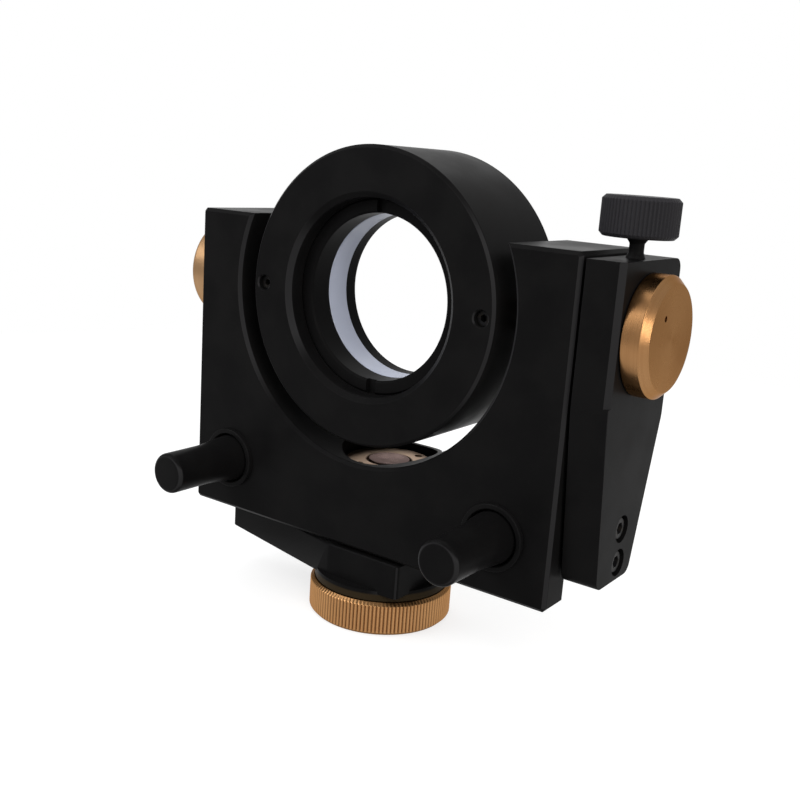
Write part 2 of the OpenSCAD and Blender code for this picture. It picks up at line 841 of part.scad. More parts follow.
module yaw_arm() {
    plate = outline(
        [
            [yaw_arm_tail, -hub_front], [yaw_arm_tail, yaw_hub_back], [-kink_back, yaw_hub_back],
            [-yaw_lever - arm_end, yaw_tip_back + foot_edge],
            [-yaw_lever - arm_end, -yaw_tip_front], [-kink_yaw, -hub_front]
        ],
        [[arm_edge, 1], [arm_round, 6], [2 * arm_round, 6], [arm_edge, 1], [arm_edge, 1], [0, 1]]
    );
    color(black)
    difference() {
        union() {
            slab_z(plate, yaw_arm_foot, yaw_arm_z);
            rod_z(hub_d / 2, hub_foot, yaw_arm_foot + eps, $fn = fine);
        }
        rod_z(shaft_r + running, hub_foot - 1, yaw_arm_z + 1);
        for (x = screw_places)
            translate([x - yaw_lever, foot_mid, 0]) {
                rod_z(screw_d / 2 + 4 * running, yaw_arm_foot, yaw_arm_z + 1);
                rod_z(pocket_d / 2, yaw_arm_foot - 1, yaw_arm_foot + pocket_depth);
            }
    }
}

module yaw_foot()
    color(black)
    on_yaw_arm()
    foot(yaw_foot_reach, yaw_spring_at);

module yaw_screws()
    color(steel)
    for (x = screw_places)
        translate([x - yaw_lever, foot_mid, yaw_arm_foot + pocket_depth])
            rotate([180, 0, 0])
                cap_screw(yaw_arm_t - pocket_depth + screw_grip);

module base_knob()
    color(bronze)
    difference() {
        translate([0, 0, base_foot]) knurled_head(base_d / 2, base_h, base_grooves, head_edge);
        rod_z(shaft_r + running, base_foot - 1, base_top + 1);
    }

// ---- Return springs ----

// A spring along Y between its two pins, whose hooks lie across the pins
module return_spring() {
    coil_start = plate_pin_y + hook_r + wire_d;
    coil_end = foot_pin_y - hook_r - wire_d;
    steps = 12 * spring_turns;
    coil = [
        for (i = [0:steps])
            [
                coil_r * cos(30 * i),
                coil_start + (coil_end - coil_start) * i / steps,
                coil_r * sin(30 * i)
            ]
    ];
    front_hook = [for (a = [225:-22.5:0]) [hook_r * cos(a), plate_pin_y - hook_r * sin(a), 0]];
    back_hook = [for (a = [0:22.5:225]) [hook_r * cos(a), foot_pin_y + hook_r * sin(a), 0]];
    tube(concat(front_hook, coil, back_hook), wire_d / 2, 6, [0, 0, 1]);
}

module pitch_spring()
    color(steel)
    at_pitch_spring()
    rotate([0, 90, 0])
    return_spring();

module yaw_spring()
    color(steel)
    at_yaw_spring()
    return_spring();

module frame_pins()
    color(steel) {
        translate([0, plate_pin_y, drive_z])
            rod_x(pin_d / 2, pitch_side + spring_offset - pin_inset + seated, half_w - seated);
        translate([-yaw_lever, plate_pin_y, 0])
            rod_z(pin_d / 2, frame_foot + seated, drive_z - spring_offset + pin_inset - seated);
    }

module foot_pin(spring_at)
    translate([0, foot_pin_y, 0])
        rod_z(pin_d / 2, seated, spring_at + pin_inset - seated);

module pitch_foot_pin() color(steel) on_pitch_arm() foot_pin(pitch_spring_at);
module yaw_foot_pin() color(steel) on_yaw_arm() foot_pin(yaw_spring_at);

u_frame();
cell_ring();
retaining_ring();
seat_ring();
grub_screws();
left_trunnion();
right_trunnion();
left_bearing();
right_bush();
trunnion_disc();
pitch_arm();
pitch_foot();
pitch_screws();
thumb_screw();
pressure_pad();
pitch_collar();
yaw_collar();
pitch_spindle();
yaw_spindle();
pitch_knob();
yaw_knob();
pitch_ball();
yaw_ball();
bearing_disc();
upright_shaft();
lower_bush();
yaw_arm();
yaw_foot();
yaw_screws();
base_knob();
pitch_spring();
yaw_spring();
frame_pins();
pitch_foot_pin();
yaw_foot_pin();
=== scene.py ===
"""Dresses the gimbal mirror mount: turned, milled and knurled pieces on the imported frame.

Lengths are in metres. The optic looks along -Y, the level axis is X and the upright axis is Z.
"""

import math

import bmesh
import bpy
import numpy as np
from mathutils import Matrix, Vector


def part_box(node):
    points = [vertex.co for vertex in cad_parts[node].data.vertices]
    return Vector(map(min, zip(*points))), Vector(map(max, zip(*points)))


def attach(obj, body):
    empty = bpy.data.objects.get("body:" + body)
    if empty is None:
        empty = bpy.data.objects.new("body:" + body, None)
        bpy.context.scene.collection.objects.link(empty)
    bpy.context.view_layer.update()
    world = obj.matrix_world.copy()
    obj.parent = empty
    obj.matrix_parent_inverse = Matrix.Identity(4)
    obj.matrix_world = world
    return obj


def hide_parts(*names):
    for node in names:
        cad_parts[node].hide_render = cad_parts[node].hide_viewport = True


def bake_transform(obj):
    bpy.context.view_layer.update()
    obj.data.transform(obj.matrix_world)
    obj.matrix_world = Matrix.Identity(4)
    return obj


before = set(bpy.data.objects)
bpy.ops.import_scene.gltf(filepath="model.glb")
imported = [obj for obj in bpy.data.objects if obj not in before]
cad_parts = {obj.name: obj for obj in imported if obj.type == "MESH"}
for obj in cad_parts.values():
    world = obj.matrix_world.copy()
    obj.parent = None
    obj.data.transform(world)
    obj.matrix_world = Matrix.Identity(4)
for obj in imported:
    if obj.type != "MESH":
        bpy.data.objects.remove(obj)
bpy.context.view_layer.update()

MM = 0.001
SMOOTH = math.radians(28)

# Sides of a large and of a small turned piece
ROUND = 192
SMALL = 64

# Fits and shared sizes, in millimetres
BREAK = 0.16
RUNNING = 0.05
SEATED = 0.02
CLEAR_R = 22.0
THREAD_R = 25.8
TRUNNION_R = 4.0
BUSH_R = 7.0
SHAFT_R = 6.3
SPINDLE_R = 3.0
GRUB_R = 2.0
PLATE_BACK = -7.0
CUP_FLOOR = -11.2

# The fine drives: places of the adjusters, of the return springs and of the springs' pins
ADJUSTERS = {"pitch": (44.0, 0.0, -53.0), "yaw": (-46.0, 0.0, -53.0)}
SPRINGS = {"pitch": (52.8, 0.0, -53.0), "yaw": (-46.0, 0.0, -61.8)}
PIN_ENDS = {"pitch": 50.2, "yaw": -59.2}
FRAME_PIN_Y = -9.4
FOOT_PIN_Y = 2.2
PIN_HOLE_R = 0.62

# The cap screws of the two feet: places from the middle of the adjuster, depth, and pockets
FOOT_MID_Y = 0.5
SCREW_PLACES = (0.65 - 8.7 / 2, 0.65 + 8.7 / 2)
SCREW_HOLE_R = 1.7
POCKET_R = 3.5
POCKET_DEPTH = 3.6

# Tone of the painted highlight on chamfered corners: a greyer black
CORNER_HIGHLIGHT_TONE = (0.025, 0.0245, 0.0255)

# Basis (across, across, along) for a piece whose length lies along each axis
AXES = {"x": np.eye(3)[[1, 2, 0]], "y": np.eye(3)[[2, 0, 1]], "z": np.eye(3)}


# ---- Sizes, in millimetres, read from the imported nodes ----


def low(node):
    """The lower corner of a node's box."""
    return np.array(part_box(node)[0]) / MM


def high(node):
    """The upper corner of a node's box."""
    return np.array(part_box(node)[1]) / MM


def span(node):
    """Both corners of a node's box."""
    return low(node), high(node)


# ---- Shapes ----


def broken(points, sizes, steps=4, closed=True):
    """Rounds a polyline's corners. A corner b between a and c gives way to the arc that touches
    both its sides at size / tan(half the angle) from b. A short straight stretch is kept on
    each side of the arc, so that flat faces stay flat."""
    points = np.asarray(points, float)
    count = len(points)
    sizes = np.broadcast_to(np.asarray(sizes, float), (count,))
    out = []
    for i in range(count):
        b = points[i]
        if sizes[i] <= 0 or (not closed and i in (0, count - 1)):
            out.append(b[None])
            continue
        a, c = points[i - 1], points[(i + 1) % count]
        u, w = a - b, c - b
        room = min(np.linalg.norm(u), np.linalg.norm(w))
        u, w = u / np.linalg.norm(u), w / np.linalg.norm(w)
        half = math.acos(np.clip(u @ w, -1, 1)) / 2
        if half > 1.54:
            out.append(b[None])
            continue
        reach = min(sizes[i] / math.tan(half), 0.42 * room)
        size = reach * math.tan(half)
        middle = b + (u + w) / np.linalg.norm(u + w) * size / math.sin(half)
        turn = (math.pi - 2 * half) * np.linspace(0, 1, steps + 1)[:, None]
        start = b + u * reach - middle
        side = b + w * reach - middle
        side = side - start * (side @ start) / (start @ start)
        side = side / np.linalg.norm(side) * size
        keep = min(0.06, 0.05 * room)
        arc = middle + np.cos(turn) * start + np.sin(turn) * side
        out.append(np.vstack([b + u * (reach + keep), arc, b + w * (reach + keep)]))
    return np.vstack(out)


def inset(outline, depth):
    """Moves a closed outline in by a depth: each point goes along the sum of its two sides'
    normals, divided by one plus their product."""
    before = outline - np.roll(outline, 1, axis=0)
    after = np.roll(outline, -1, axis=0) - outline
    before = before / np.linalg.norm(before, axis=1, keepdims=True)
    after = after / np.linalg.norm(after, axis=1, keepdims=True)
    n1 = np.stack([-before[:, 1], before[:, 0]], axis=1)
    n2 = np.stack([-after[:, 1], after[:, 0]], axis=1)
    share = 1 + np.sum(n1 * n2, axis=1, keepdims=True)
    return outline + depth * (n1 + n2) / share


def area(outline):
    """Twice the signed area: the sum of the cross products of neighbouring points."""
    after = np.roll(outline, -1, axis=0)
    return np.sum(outline[:, 0] * after[:, 1] - outline[:, 1] * after[:, 0])


def woven(name, points, wrap_rows=False, lids=False):
    """Makes a mesh of a grid of points, row by row. Points that coincide are joined, so that a
    row on an axis closes into a pole. Lids close the first and last rows with one face."""
    rows, columns = points.shape[:2]
    flat = np.asarray(points, float).reshape(-1, 3) * MM
    index = np.arange(rows * columns).reshape(rows, columns)
    far = np.roll(index, -1, axis=0) if wrap_rows else index[1:]
    near = index if wrap_rows else index[:-1]
    quads = np.stack([near, np.roll(near, -1, axis=1), np.roll(far, -1, axis=1), far], axis=-1)
    quads = quads.reshape(-1, 4)
    _, first, place = np.unique(np.round(flat, 9), axis=0, return_index=True, return_inverse=True)
    place = place.reshape(-1)
    quads = place[quads]
    same = quads == np.roll(quads, -1, axis=1)
    doubled = same.sum(axis=1)
    whole = quads[doubled == 0]
    folded, where = quads[doubled == 1], same[doubled == 1].argmax(axis=1)
    pick = (where[:, None] + np.array([1, 2, 3])) % 4
    corners = np.take_along_axis(folded, pick, axis=1)
    faces = whole.tolist() + corners.tolist()
    if lids:
        faces += [place[index[0]].tolist(), place[index[-1]][::-1].tolist()]
    mesh = bpy.data.meshes.new(name)
    mesh.from_pydata(flat[first], [], faces)
    turn_outwards(mesh)
    return linked(name, mesh)


def turn_outwards(mesh):
    """Makes every face of a closed mesh point outwards."""
    work = bmesh.new()
    work.from_mesh(mesh)
    bmesh.ops.recalc_face_normals(work, faces=work.faces)
    work.to_mesh(mesh)
    work.free()


def linked(name, data):
    """Adds a mesh, a lamp or a camera to the scene."""
    made = bpy.data.objects.new(name, data)
    bpy.context.scene.collection.objects.link(made)
    return made


def spun(name, radius, along, axis, at, hollow=False):
    """Weaves rings round an axis: a point is radius * (cos a, sin a) across the axis, with a
    row of radii for each ring and a column for each angle a."""
    angle = np.linspace(0, 2 * np.pi, radius.shape[1], endpoint=False)
    u, v, w = AXES[axis]
    ring = np.cos(angle)[:, None] * u + np.sin(angle)[:, None] * v
    points = radius[..., None] * ring + along[:, None, None] * w
    return woven(name, points + np.asarray(at, float), wrap_rows=hollow)


def turned(name, profile, axis, at=(0, 0, 0), sides=ROUND, hollow=False):
    """Turns a profile of (radius, height) round an axis. A hollow profile is a closed loop."""
    profile = np.asarray(profile, float)
    radius = np.repeat(profile[:, :1], sides, axis=1)
    return spun(name, radius, profile[:, 1], axis, at, hollow)


def lathe(name, profile, rounds, axis, at=(0, 0, 0), sides=ROUND, hollow=False):
    """A turned piece whose profile has rounded corners."""
    return turned(name, broken(profile, rounds, closed=hollow), axis, at, sides, hollow)


def fluted(name, profile, teeth, depth, axis, at=(0, 0, 0), hollow=False, per_tooth=8):
    """A turned blank with straight grooves: the smaller of the blank's radius and the groove's,
    which falls by the depth with the cosine of the tooth angle."""
    profile = np.asarray(profile, float)
    angle = np.linspace(0, 2 * np.pi, teeth * per_tooth, endpoint=False)
    wave = 0.5 - 0.5 * np.cos(teeth * angle)
    groove = profile[:, 0].max() - depth * wave**1.5
    radius = np.minimum(profile[:, :1], groove[None])
    return spun(name, radius, profile[:, 1], axis, at, hollow)


def threaded(name, radius, pitch, depth, start, end, axis, at=(0, 0, 0), sides=48):
    """A rod with a screw thread: the radius falls by the depth with a raised cosine of
    height / pitch minus the share of a turn. The two ends close on the axis."""
    angle = np.linspace(0, 2 * np.pi, sides, endpoint=False)
    along = np.linspace(start, end, int(abs(end - start) / pitch * 10) + 2)
    phase = 2 * np.pi * along[:, None] / pitch - angle
    wall = radius - depth * (0.5 - 0.5 * np.cos(phase)) ** 1.4
    fade = np.clip(np.minimum(along - start, end - along)[:, None] / pitch, 0, 1)
    wall = np.minimum(wall, radius - depth * (1 - fade))
    wall = np.vstack([np.zeros((1, sides)), wall, np.zeros((1, sides))])
    along = np.concatenate([[start], along, [end]])
    return spun(name, wall, along, axis, at)


def stacked(name, rings, along, axis, at=(0, 0, 0)):
    """Weaves outlines across an axis, each at its place along it, and closes the ends."""
    u, v, w = AXES[axis]
    points = rings[..., :1] * u + rings[..., 1:] * v + along[:, None, None] * w
    return woven(name, points + np.asarray(at, float), lids=True)


def slab(name, corners, sizes, start, end, axis, edge=0.0, steps=6):
    """Carries an outline with rounded corners along an axis. Near each end it moves in along the
    end's chamfer, and its corners' radii shrink with it."""
    corners = np.asarray(corners, float)
    sizes = np.broadcast_to(np.asarray(sizes, float), (len(corners),))
    if area(corners) < 0:
        corners, sizes = corners[::-1], sizes[::-1]
    lip = edge + 2 * BREAK
    near = [[lip, 0], [edge, 0], [0, edge]] if edge > 0 else [[lip, 0], [0, 0]]
    far = [[depth, end - start - rise] for depth, rise in near[::-1]]
    walls = broken(near + far, BREAK, closed=False)
    rings = []
    for depth in walls[:, 0]:
        rings.append(broken(inset(corners, depth), np.maximum(sizes - depth, 0.1), steps))
    return stacked(name, np.stack(rings), start + walls[:, 1], axis)


def prism(name, outline, start, end, axis, at=(0, 0, 0)):
    """A plain bar of one outline, used to cut other pieces."""
    rings = np.array([outline, outline], float)
    return stacked(name, rings, np.array([start, end], float), axis, at)


def hexagon(radius):
    """Six points at even angles: radius * (cos a, sin a)."""
    angle = np.linspace(0, 2 * np.pi, 6, endpoint=False)
    return np.stack([np.cos(angle), np.sin(angle)], axis=1) * radius


def drill(radius, start, end, axis, at=(0, 0, 0), sink=0.0, sides=SMALL):
    """A round tool from start to end, widened by a small countersink at its start."""
    step = math.copysign(1, end - start)
    profile = [[0, start - step], [radius + sink, start - step]]
    profile += [[radius + sink, start], [radius, start + step * sink]] if sink else []
    profile += [[radius, end], [0, end]]
    return turned("drill", profile, axis, at, sides)


def carve(piece, tools, how="DIFFERENCE"):
    """Cuts tools out of a piece, or joins them to it, and removes them."""
    for tool in tools:
        step = piece.modifiers.new("carve", "BOOLEAN")
        step.operation = how
        step.solver = "EXACT"
        step.object = tool
    graph = bpy.context.evaluated_depsgraph_get()
    mesh = bpy.data.meshes.new_from_object(piece.evaluated_get(graph))
    piece.modifiers.clear()
    piece.data = mesh
    for tool in tools:
        bpy.data.objects.remove(tool)
    return piece


def joined(name, pieces):
    """One mesh of several."""
    work = bmesh.new()
    for piece in pieces:
        work.from_mesh(piece.data)
        bpy.data.objects.remove(piece)
    mesh = bpy.data.meshes.new(name)
    work.to_mesh(mesh)
    work.free()
    return linked(name, mesh)


def fitted(piece, node, body, finish):
    """Gives a piece its finish and its place on the frame."""
    piece.data.materials.clear()
    piece.data.materials.append(finish)
    piece.data.shade_smooth()
    piece.data.set_sharp_from_angle(angle=SMOOTH)
    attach(piece, body)
    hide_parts(node)


# ---- Node wiring ----


class Wire:
    """The output of a node. Adding, subtracting or multiplying makes the node that does it."""

    def __init__(self, web, socket):
        self.web = web
        self.socket = socket

    def __add__(self, other):
        return self.web.math("ADD", self, other)

    def __radd__(self, other):
        return self.web.math("ADD", other, self)

    def __sub__(self, other):
        return self.web.math("SUBTRACT", self, other)

    def __rsub__(self, other):
        return self.web.math("SUBTRACT", other, self)

    def __mul__(self, other):
        return self.web.math("MULTIPLY", self, other)

    def __rmul__(self, other):
        return self.web.math("MULTIPLY", other, self)


class Web:
    """A node tree, and one way to add any node to it."""

    def __init__(self, tree):
        self.tree = tree
        self.tree.nodes.clear()

    def node(self, kind, settings=None, inputs=None, output=0):
        made = self.tree.nodes.new("ShaderNode" + kind)
        for name, value in (settings or {}).items():
            setattr(made, name, value)
        for key, value in (inputs or {}).items():
            if isinstance(value, Wire):
                self.tree.links.new(value.socket, made.inputs[key])
            else:
                made.inputs[key].default_value = value
        return Wire(self, made.outputs[output]) if len(made.outputs) else None

    def part(self, wire, output):
        """Another output of the node that a wire comes from."""
        return Wire(self, wire.socket.node.outputs[output])

    def noise(self, where, scale, detail=2.0, roughness=0.5):
        return self.node(
            "TexNoise", {}, {"Vector": where, "Scale": scale, "Detail": detail, "Roughness": roughness}
        )

    def between(self, wire, low_in, high_in, low_out, high_out):
        """Fades smoothly from one value to another over a range of the wire."""
        sizes = {"From Min": low_in, "From Max": high_in, "To Min": low_out, "To Max": high_out}
        return self.node("MapRange", {"interpolation_type": "SMOOTHSTEP"}, {"Value": wire, **sizes})

    def bump(self, strength, distance, height):
        sizes = {"Strength": strength, "Distance": distance, "Height": height}
        return self.node("Bump", {}, sizes)

    def math(self, operation, *values):
        return self.node("Math", {"operation": operation}, dict(enumerate(values)))

    def mixed(self, share, first, second):
        settings = {"data_type": "RGBA", "blend_type": "MIX"}
        return self.node("Mix", settings, {0: share, 6: first, 7: second}, output=2)


def colour(red, green, blue):
    return (red, green, blue, 1.0)


def finish_of(name, build):
    """A material whose shader's varying sockets come from build, and whose constants are set on
    the shader itself."""
    material = bpy.data.materials.new(name)
    material.use_nodes = True
    web = Web(material.node_tree)
    where = web.node("TexCoord", output=3)
    sockets = build(web, where)
    shader = web.node("BsdfPrincipled", {}, sockets)
    web.node("OutputMaterial", {}, {"Surface": shader})
    return material


def around(web, where, axis, centre=(0.0, 0.0, 0.0)):
    """Distance from a line along an axis, and the place along it."""
    parts = web.node("SeparateXYZ", {}, {0: where})
    sides = {"x": (1, 2, 0), "y": (0, 2, 1), "z": (0, 1, 2)}[axis]
    a = web.part(parts, sides[0]) - centre[sides[0]]
    b = web.part(parts, sides[1]) - centre[sides[1]]
    return web.math("SQRT", a * a + b * b), web.part(parts, sides[2])


def tool_marks(web, where, axis, centre=(0.0, 0.0, 0.0), scale=9000.0):
    """Fine lines left by turning: noise that depends only on the radius and the height."""
    radius, along = around(web, where, axis, centre)
    lines = web.node("CombineXYZ", {}, {0: radius, 1: along, 2: 0.0})
    return web.noise(lines, scale, 3.0, 0.6)


def painted_corner_highlight(beyond=0.0, back=-0.0142, spread=0.0):
    """A painted highlight: corners that face halfway between front and side, no further
    back than a depth, and further from the middle than a distance. Spread widens the corner."""

    def mask(web, where):
        facing = web.node("SeparateXYZ", {}, {0: web.node("TexCoord", output=1)})
        place = web.node("SeparateXYZ", {}, {0: where})
        forward = web.math("ABSOLUTE", web.part(facing, 1))
        upward = web.math("ABSOLUTE", web.part(facing, 2))
        aside = web.math("ABSOLUTE", web.part(place, 0))
        halfway = web.between(forward, 0.50 - spread, 0.62 - spread, 0.0, 1.0)
        halfway = halfway * web.between(forward, 0.80 + spread / 4, 0.92 + spread / 4, 1.0, 0.0)
        upright = web.between(upward, 0.30, 0.55, 1.0, 0.0)
        front = web.between(web.part(place, 1), back - 0.0004, back, 1.0, 0.0)
        return halfway * upright * front * web.between(aside, beyond - 0.0005, beyond, 0.0, 1.0)

    return mask


def above(height, way=1.0):
    """Everything higher than a height, or lower where the way is minus one."""

    def mask(web, where):
        place = web.node("SeparateXYZ", {}, {0: where})
        rise = (web.part(place, 2) - height) * way
        return web.between(rise, -0.0003, 0.0003, 0.0, 1.0)

    return mask


def anodised(name, axis=None, centre=(0.0, 0.0, 0.0), tone=1.0, gloss=0.36, painted_light=()):
    """Black anodised aluminium: a fine blasted grain, a faint cloudiness in its gloss, on turned
    pieces the lines of the tool under the anodising, and painted highlights, reflection or sheen where
    masks are given."""

    def build(web, where):
        grain = web.noise(where, 5200.0, 2.0, 0.6)
        cloud = web.noise(where, 70.0, 3.0, 0.55)
        speck = web.between(web.noise(where, 1900.0, 1.0), 0.66, 0.74, 0.0, 1.0)
        share = web.between(cloud, 0.35, 0.65, 0.0, 0.7) + speck * 0.5
        dark = colour(0.0060 * tone, 0.0058 * tone, 0.0060 * tone)
        pale = colour(0.0086 * tone, 0.0083 * tone, 0.0083 * tone)
        height = grain * 0.5
        if axis:
            height = height + tool_marks(web, where, axis, centre) * 0.55
        rough = web.between(cloud, 0.3, 0.7, gloss - 0.04, gloss + 0.06) + (grain - 0.5) * 0.08
        bump = web.bump(0.22, 0.00003, height)
        dye_and_painted_light = web.mixed(share, dark, pale)
        # Painted light: each mask mixes in its tone, a painted highlight, reflection or sheen
        for mask, painted_tone in painted_light:
            dye_and_painted_light = web.mixed(mask(web, where), dye_and_painted_light, colour(*painted_tone))
        return {
            "Base Color": dye_and_painted_light,
            "Roughness": rough,
            "Specular IOR Level": 0.02,
            "Normal": bump,
        }

    return finish_of(name, build)


def bronze(name, axis, warm, gloss=0.32, groove=None, painted_sheen=0.0):
    """Turned bronze: fine lines round the axis, a slow change of tone, faint tarnish, painted shade
    below the radius of its grooves, and a painted sheen: a tone that changes twice round the axis."""

    def build(web, where):
        lines = tool_marks(web, where, axis, scale=6500.0)
        cloud = web.noise(where, 60.0, 2.0, 0.5)
        tarnish = web.noise(where, 260.0, 3.0, 0.55)
        light = colour(*[min(1.0, 1.10 * c) for c in warm])
        deep = colour(warm[0] * 0.86, warm[1] * 0.80, warm[2] * 0.74)
        share = web.between(lines, 0.3, 0.7, 0.0, 0.5) + web.between(cloud, 0.35, 0.65, 0.0, 0.4)
        # Painted sheen: the tone rises and falls twice round the axis, like the radial highlight of a
        # turned face
        if painted_sheen:
            parts = web.node("SeparateXYZ", {}, {0: where})
            turn = web.math("ARCTAN2", web.part(parts, 2), web.part(parts, 1))
            share = share + web.math("COSINE", turn * 2.0 + 0.6) * painted_sheen
        rough = web.between(tarnish, 0.35, 0.7, gloss - 0.01, gloss + 0.05) + (lines - 0.5) * 0.06
        bump = web.bump(0.16, 0.00002, lines)
        metal = web.mixed(share, light, deep)
        # Painted shade: darker below the groove's radius, in the hollows of flutes and round a bore
        if groove:
            radius = around(web, where, axis)[0]
            depth = web.between(radius, groove[0], groove[1], 0.85, 0.0)
            metal = web.mixed(depth, metal, colour(*[0.30 * c for c in warm]))
        return {
            "Base Color": metal,
            "Metallic": 1.0,
            "Roughness": rough,
            "Specular Tint": colour(*[min(1.0, 0.4 + c) for c in warm]),
            "Normal": bump,
        }

    return finish_of(name, build)


def steel(name, axis, centre=(0.0, 0.0, 0.0), tone=(0.50, 0.47, 0.45), gloss=0.26, rim=None):
    """Turned or ground steel with faint lines round its axis, and painted shade, dark brown, beyond
    its rim.
    """

    def build(web, where):
        lines = tool_marks(web, where, axis, centre, 8000.0)
        cloud = web.noise(where, 160.0, 2.0, 0.5)
        light = colour(*tone)
        deep = colour(*[0.78 * c for c in tone])
        rough = web.between(cloud, 0.3, 0.7, gloss - 0.05, gloss + 0.08) + (lines - 0.5) * 0.1
        bump = web.bump(0.25, 0.00003, lines)
        metal = web.mixed(web.between(lines, 0.3, 0.7, 0.0, 1.0), light, deep)
        # Painted shade: dark brown beyond the rim's radius, in the gap round the shaft's end
        if rim:
            edge = web.between(around(web, where, axis, centre)[0], rim - 0.0002, rim, 0.0, 0.92)
            metal = web.mixed(edge, metal, colour(0.03, 0.016, 0.01))
        return {
            "Base Color": metal,
            "Metallic": 1.0,
            "Roughness": rough,
            "Specular Tint": colour(*[min(1.0, 0.45 + c) for c in tone]),
            "Normal": bump,
        }

    return finish_of(name, build)


def black_oxide(name):
    """Blackened steel screws: dark, satin and a little brown where oil has dried."""

    def build(web, where):
        cloud = web.noise(where, 700.0, 3.0, 0.6)
        bump = web.bump(0.2, 0.00003, cloud)
        oil = web.between(cloud, 0.4, 0.7, 0.0, 1.0)
        tone = web.mixed(oil, colour(0.011, 0.011, 0.012), colour(0.02, 0.017, 0.014))
        return {
            "Base Color": tone,
            "Roughness": web.between(cloud, 0.3, 0.7, 0.25, 0.4),
            "Specular IOR Level": 0.06,
            "Normal": bump,
        }

    return finish_of(name, build)


def nylon(name):
    """White nylon with a cool tint: soft turning lines and a slight mottle."""

    def build(web, where):
        lines = tool_marks(web, where, "y", scale=5000.0)
        cloud = web.noise(where, 240.0, 3.0, 0.6)
        tone = web.mixed(cloud, colour(0.43, 0.465, 0.58), colour(0.49, 0.52, 0.63))
        bump = web.bump(0.2, 0.00003, lines)
        rough = web.between(cloud, 0.3, 0.7, 0.36, 0.5)
        return {"Base Color": tone, "Roughness": rough, "Normal": bump}

    return finish_of(name, build)


# ---- Cell ----


def grub_place():
    """Distance of the grub screws' axes from the middle."""
    return high("grub_screws")[0] - GRUB_R


def make_cell(black):
    """A ring turned round Y: a wide mouth and a thread in front, and behind them the clear bore,
    which widens at the back. The shafts go in from both sides and the grub screws from the front."""
    lo, hi = span("cell_ring")
    outer, front, back = hi[0], lo[1], hi[1]
    mouth, chamfer, mouth_chamfer = 26.0, 0.8, 1.4
    lip_back, seat = 8.0, 4.0
    ring_front = low("retaining_ring")[1]
    profile = [
        [mouth + mouth_chamfer, front], [outer - chamfer, front], [outer, front + chamfer],
        [outer, back - chamfer], [outer - chamfer, back], [CLEAR_R + back - lip_back, back],
        [CLEAR_R, lip_back], [CLEAR_R, seat], [THREAD_R, seat], [THREAD_R, ring_front],
        [mouth, ring_front], [mouth, front + mouth_chamfer],
    ]
    sizes = [0.22, 0.3, 0.3, 0.3, 0.3, 0.25, 0.25, 0, 0, 0, 0, 0.22]
    cell = lathe("cell_body", profile, sizes, "y", sides=256, hollow=True)
    tools = []
    for side in (-1, 1):
        tools.append(drill(TRUNNION_R + SEATED, side * outer, side * low("right_trunnion")[0], "x"))
        at = (side * grub_place(), 0, 0)
        tools.append(drill(GRUB_R + SEATED, front, 0.0, "y", at, sink=0.35))
    carve(cell, tools)
    fitted(cell, "cell_ring", "cell", black)


def liner(name, node, rounds):
    """A ring that lines the cell's thread, with a chamfer on both edges of its front."""
    front = low(node)[1]
    depth = high(node)[1] - front
    wall, edge = THREAD_R - SEATED, 0.5
    section = [
        [CLEAR_R, edge], [CLEAR_R + edge, 0], [wall - edge, 0], [wall, edge], [wall, depth],
        [CLEAR_R, depth],
    ]
    return lathe(name, section, rounds, "y", (0, front, 0), hollow=True)


def make_retaining_ring(black):
    """The screwed ring, with a slot for a spanner across its front."""
    ring = liner("retaining_ring_body", "retaining_ring", [0.15, 0.15, 0.15, 0.15, 0, 0])
    front = low("retaining_ring")[1]
    reach, half_w, depth = 30, 1.5, 1.2
    slot = [[-reach, -half_w], [reach, -half_w], [reach, half_w], [-reach, half_w]]
    carve(ring, [prism("slot", slot, front - 1, front + depth, "y")])
    fitted(ring, "retaining_ring", "cell", black)


def make_seat_ring(white):
    """The white ring behind the retaining ring."""
    ring = liner("seat_ring_body", "seat_ring", 0.12)
    fitted(ring, "seat_ring", "cell", white)


def make_grub_screws(black):
    """The two screws that hold the cell on its shafts, each with a hexagonal socket."""
    front = low("grub_screws")[1]
    back = -TRUNNION_R - RUNNING
    screws = []
    for side in (-1, 1):
        at = (side * grub_place(), 0, 0)
        rod = [[0, front], [GRUB_R, front], [GRUB_R, back], [0, back]]
        rod = lathe("grub", rod, [0, 0.25, 0.25, 0], "y", at, SMALL)
        key = prism("key", hexagon(GRUB_R / 2), front - 1, front + 2, "y", at)
        screws.append(carve(rod, [key]))
    whole = joined("cell_grub_screws", screws)
    fitted(whole, "grub_screws", "cell", black)


# ---- Frame ----


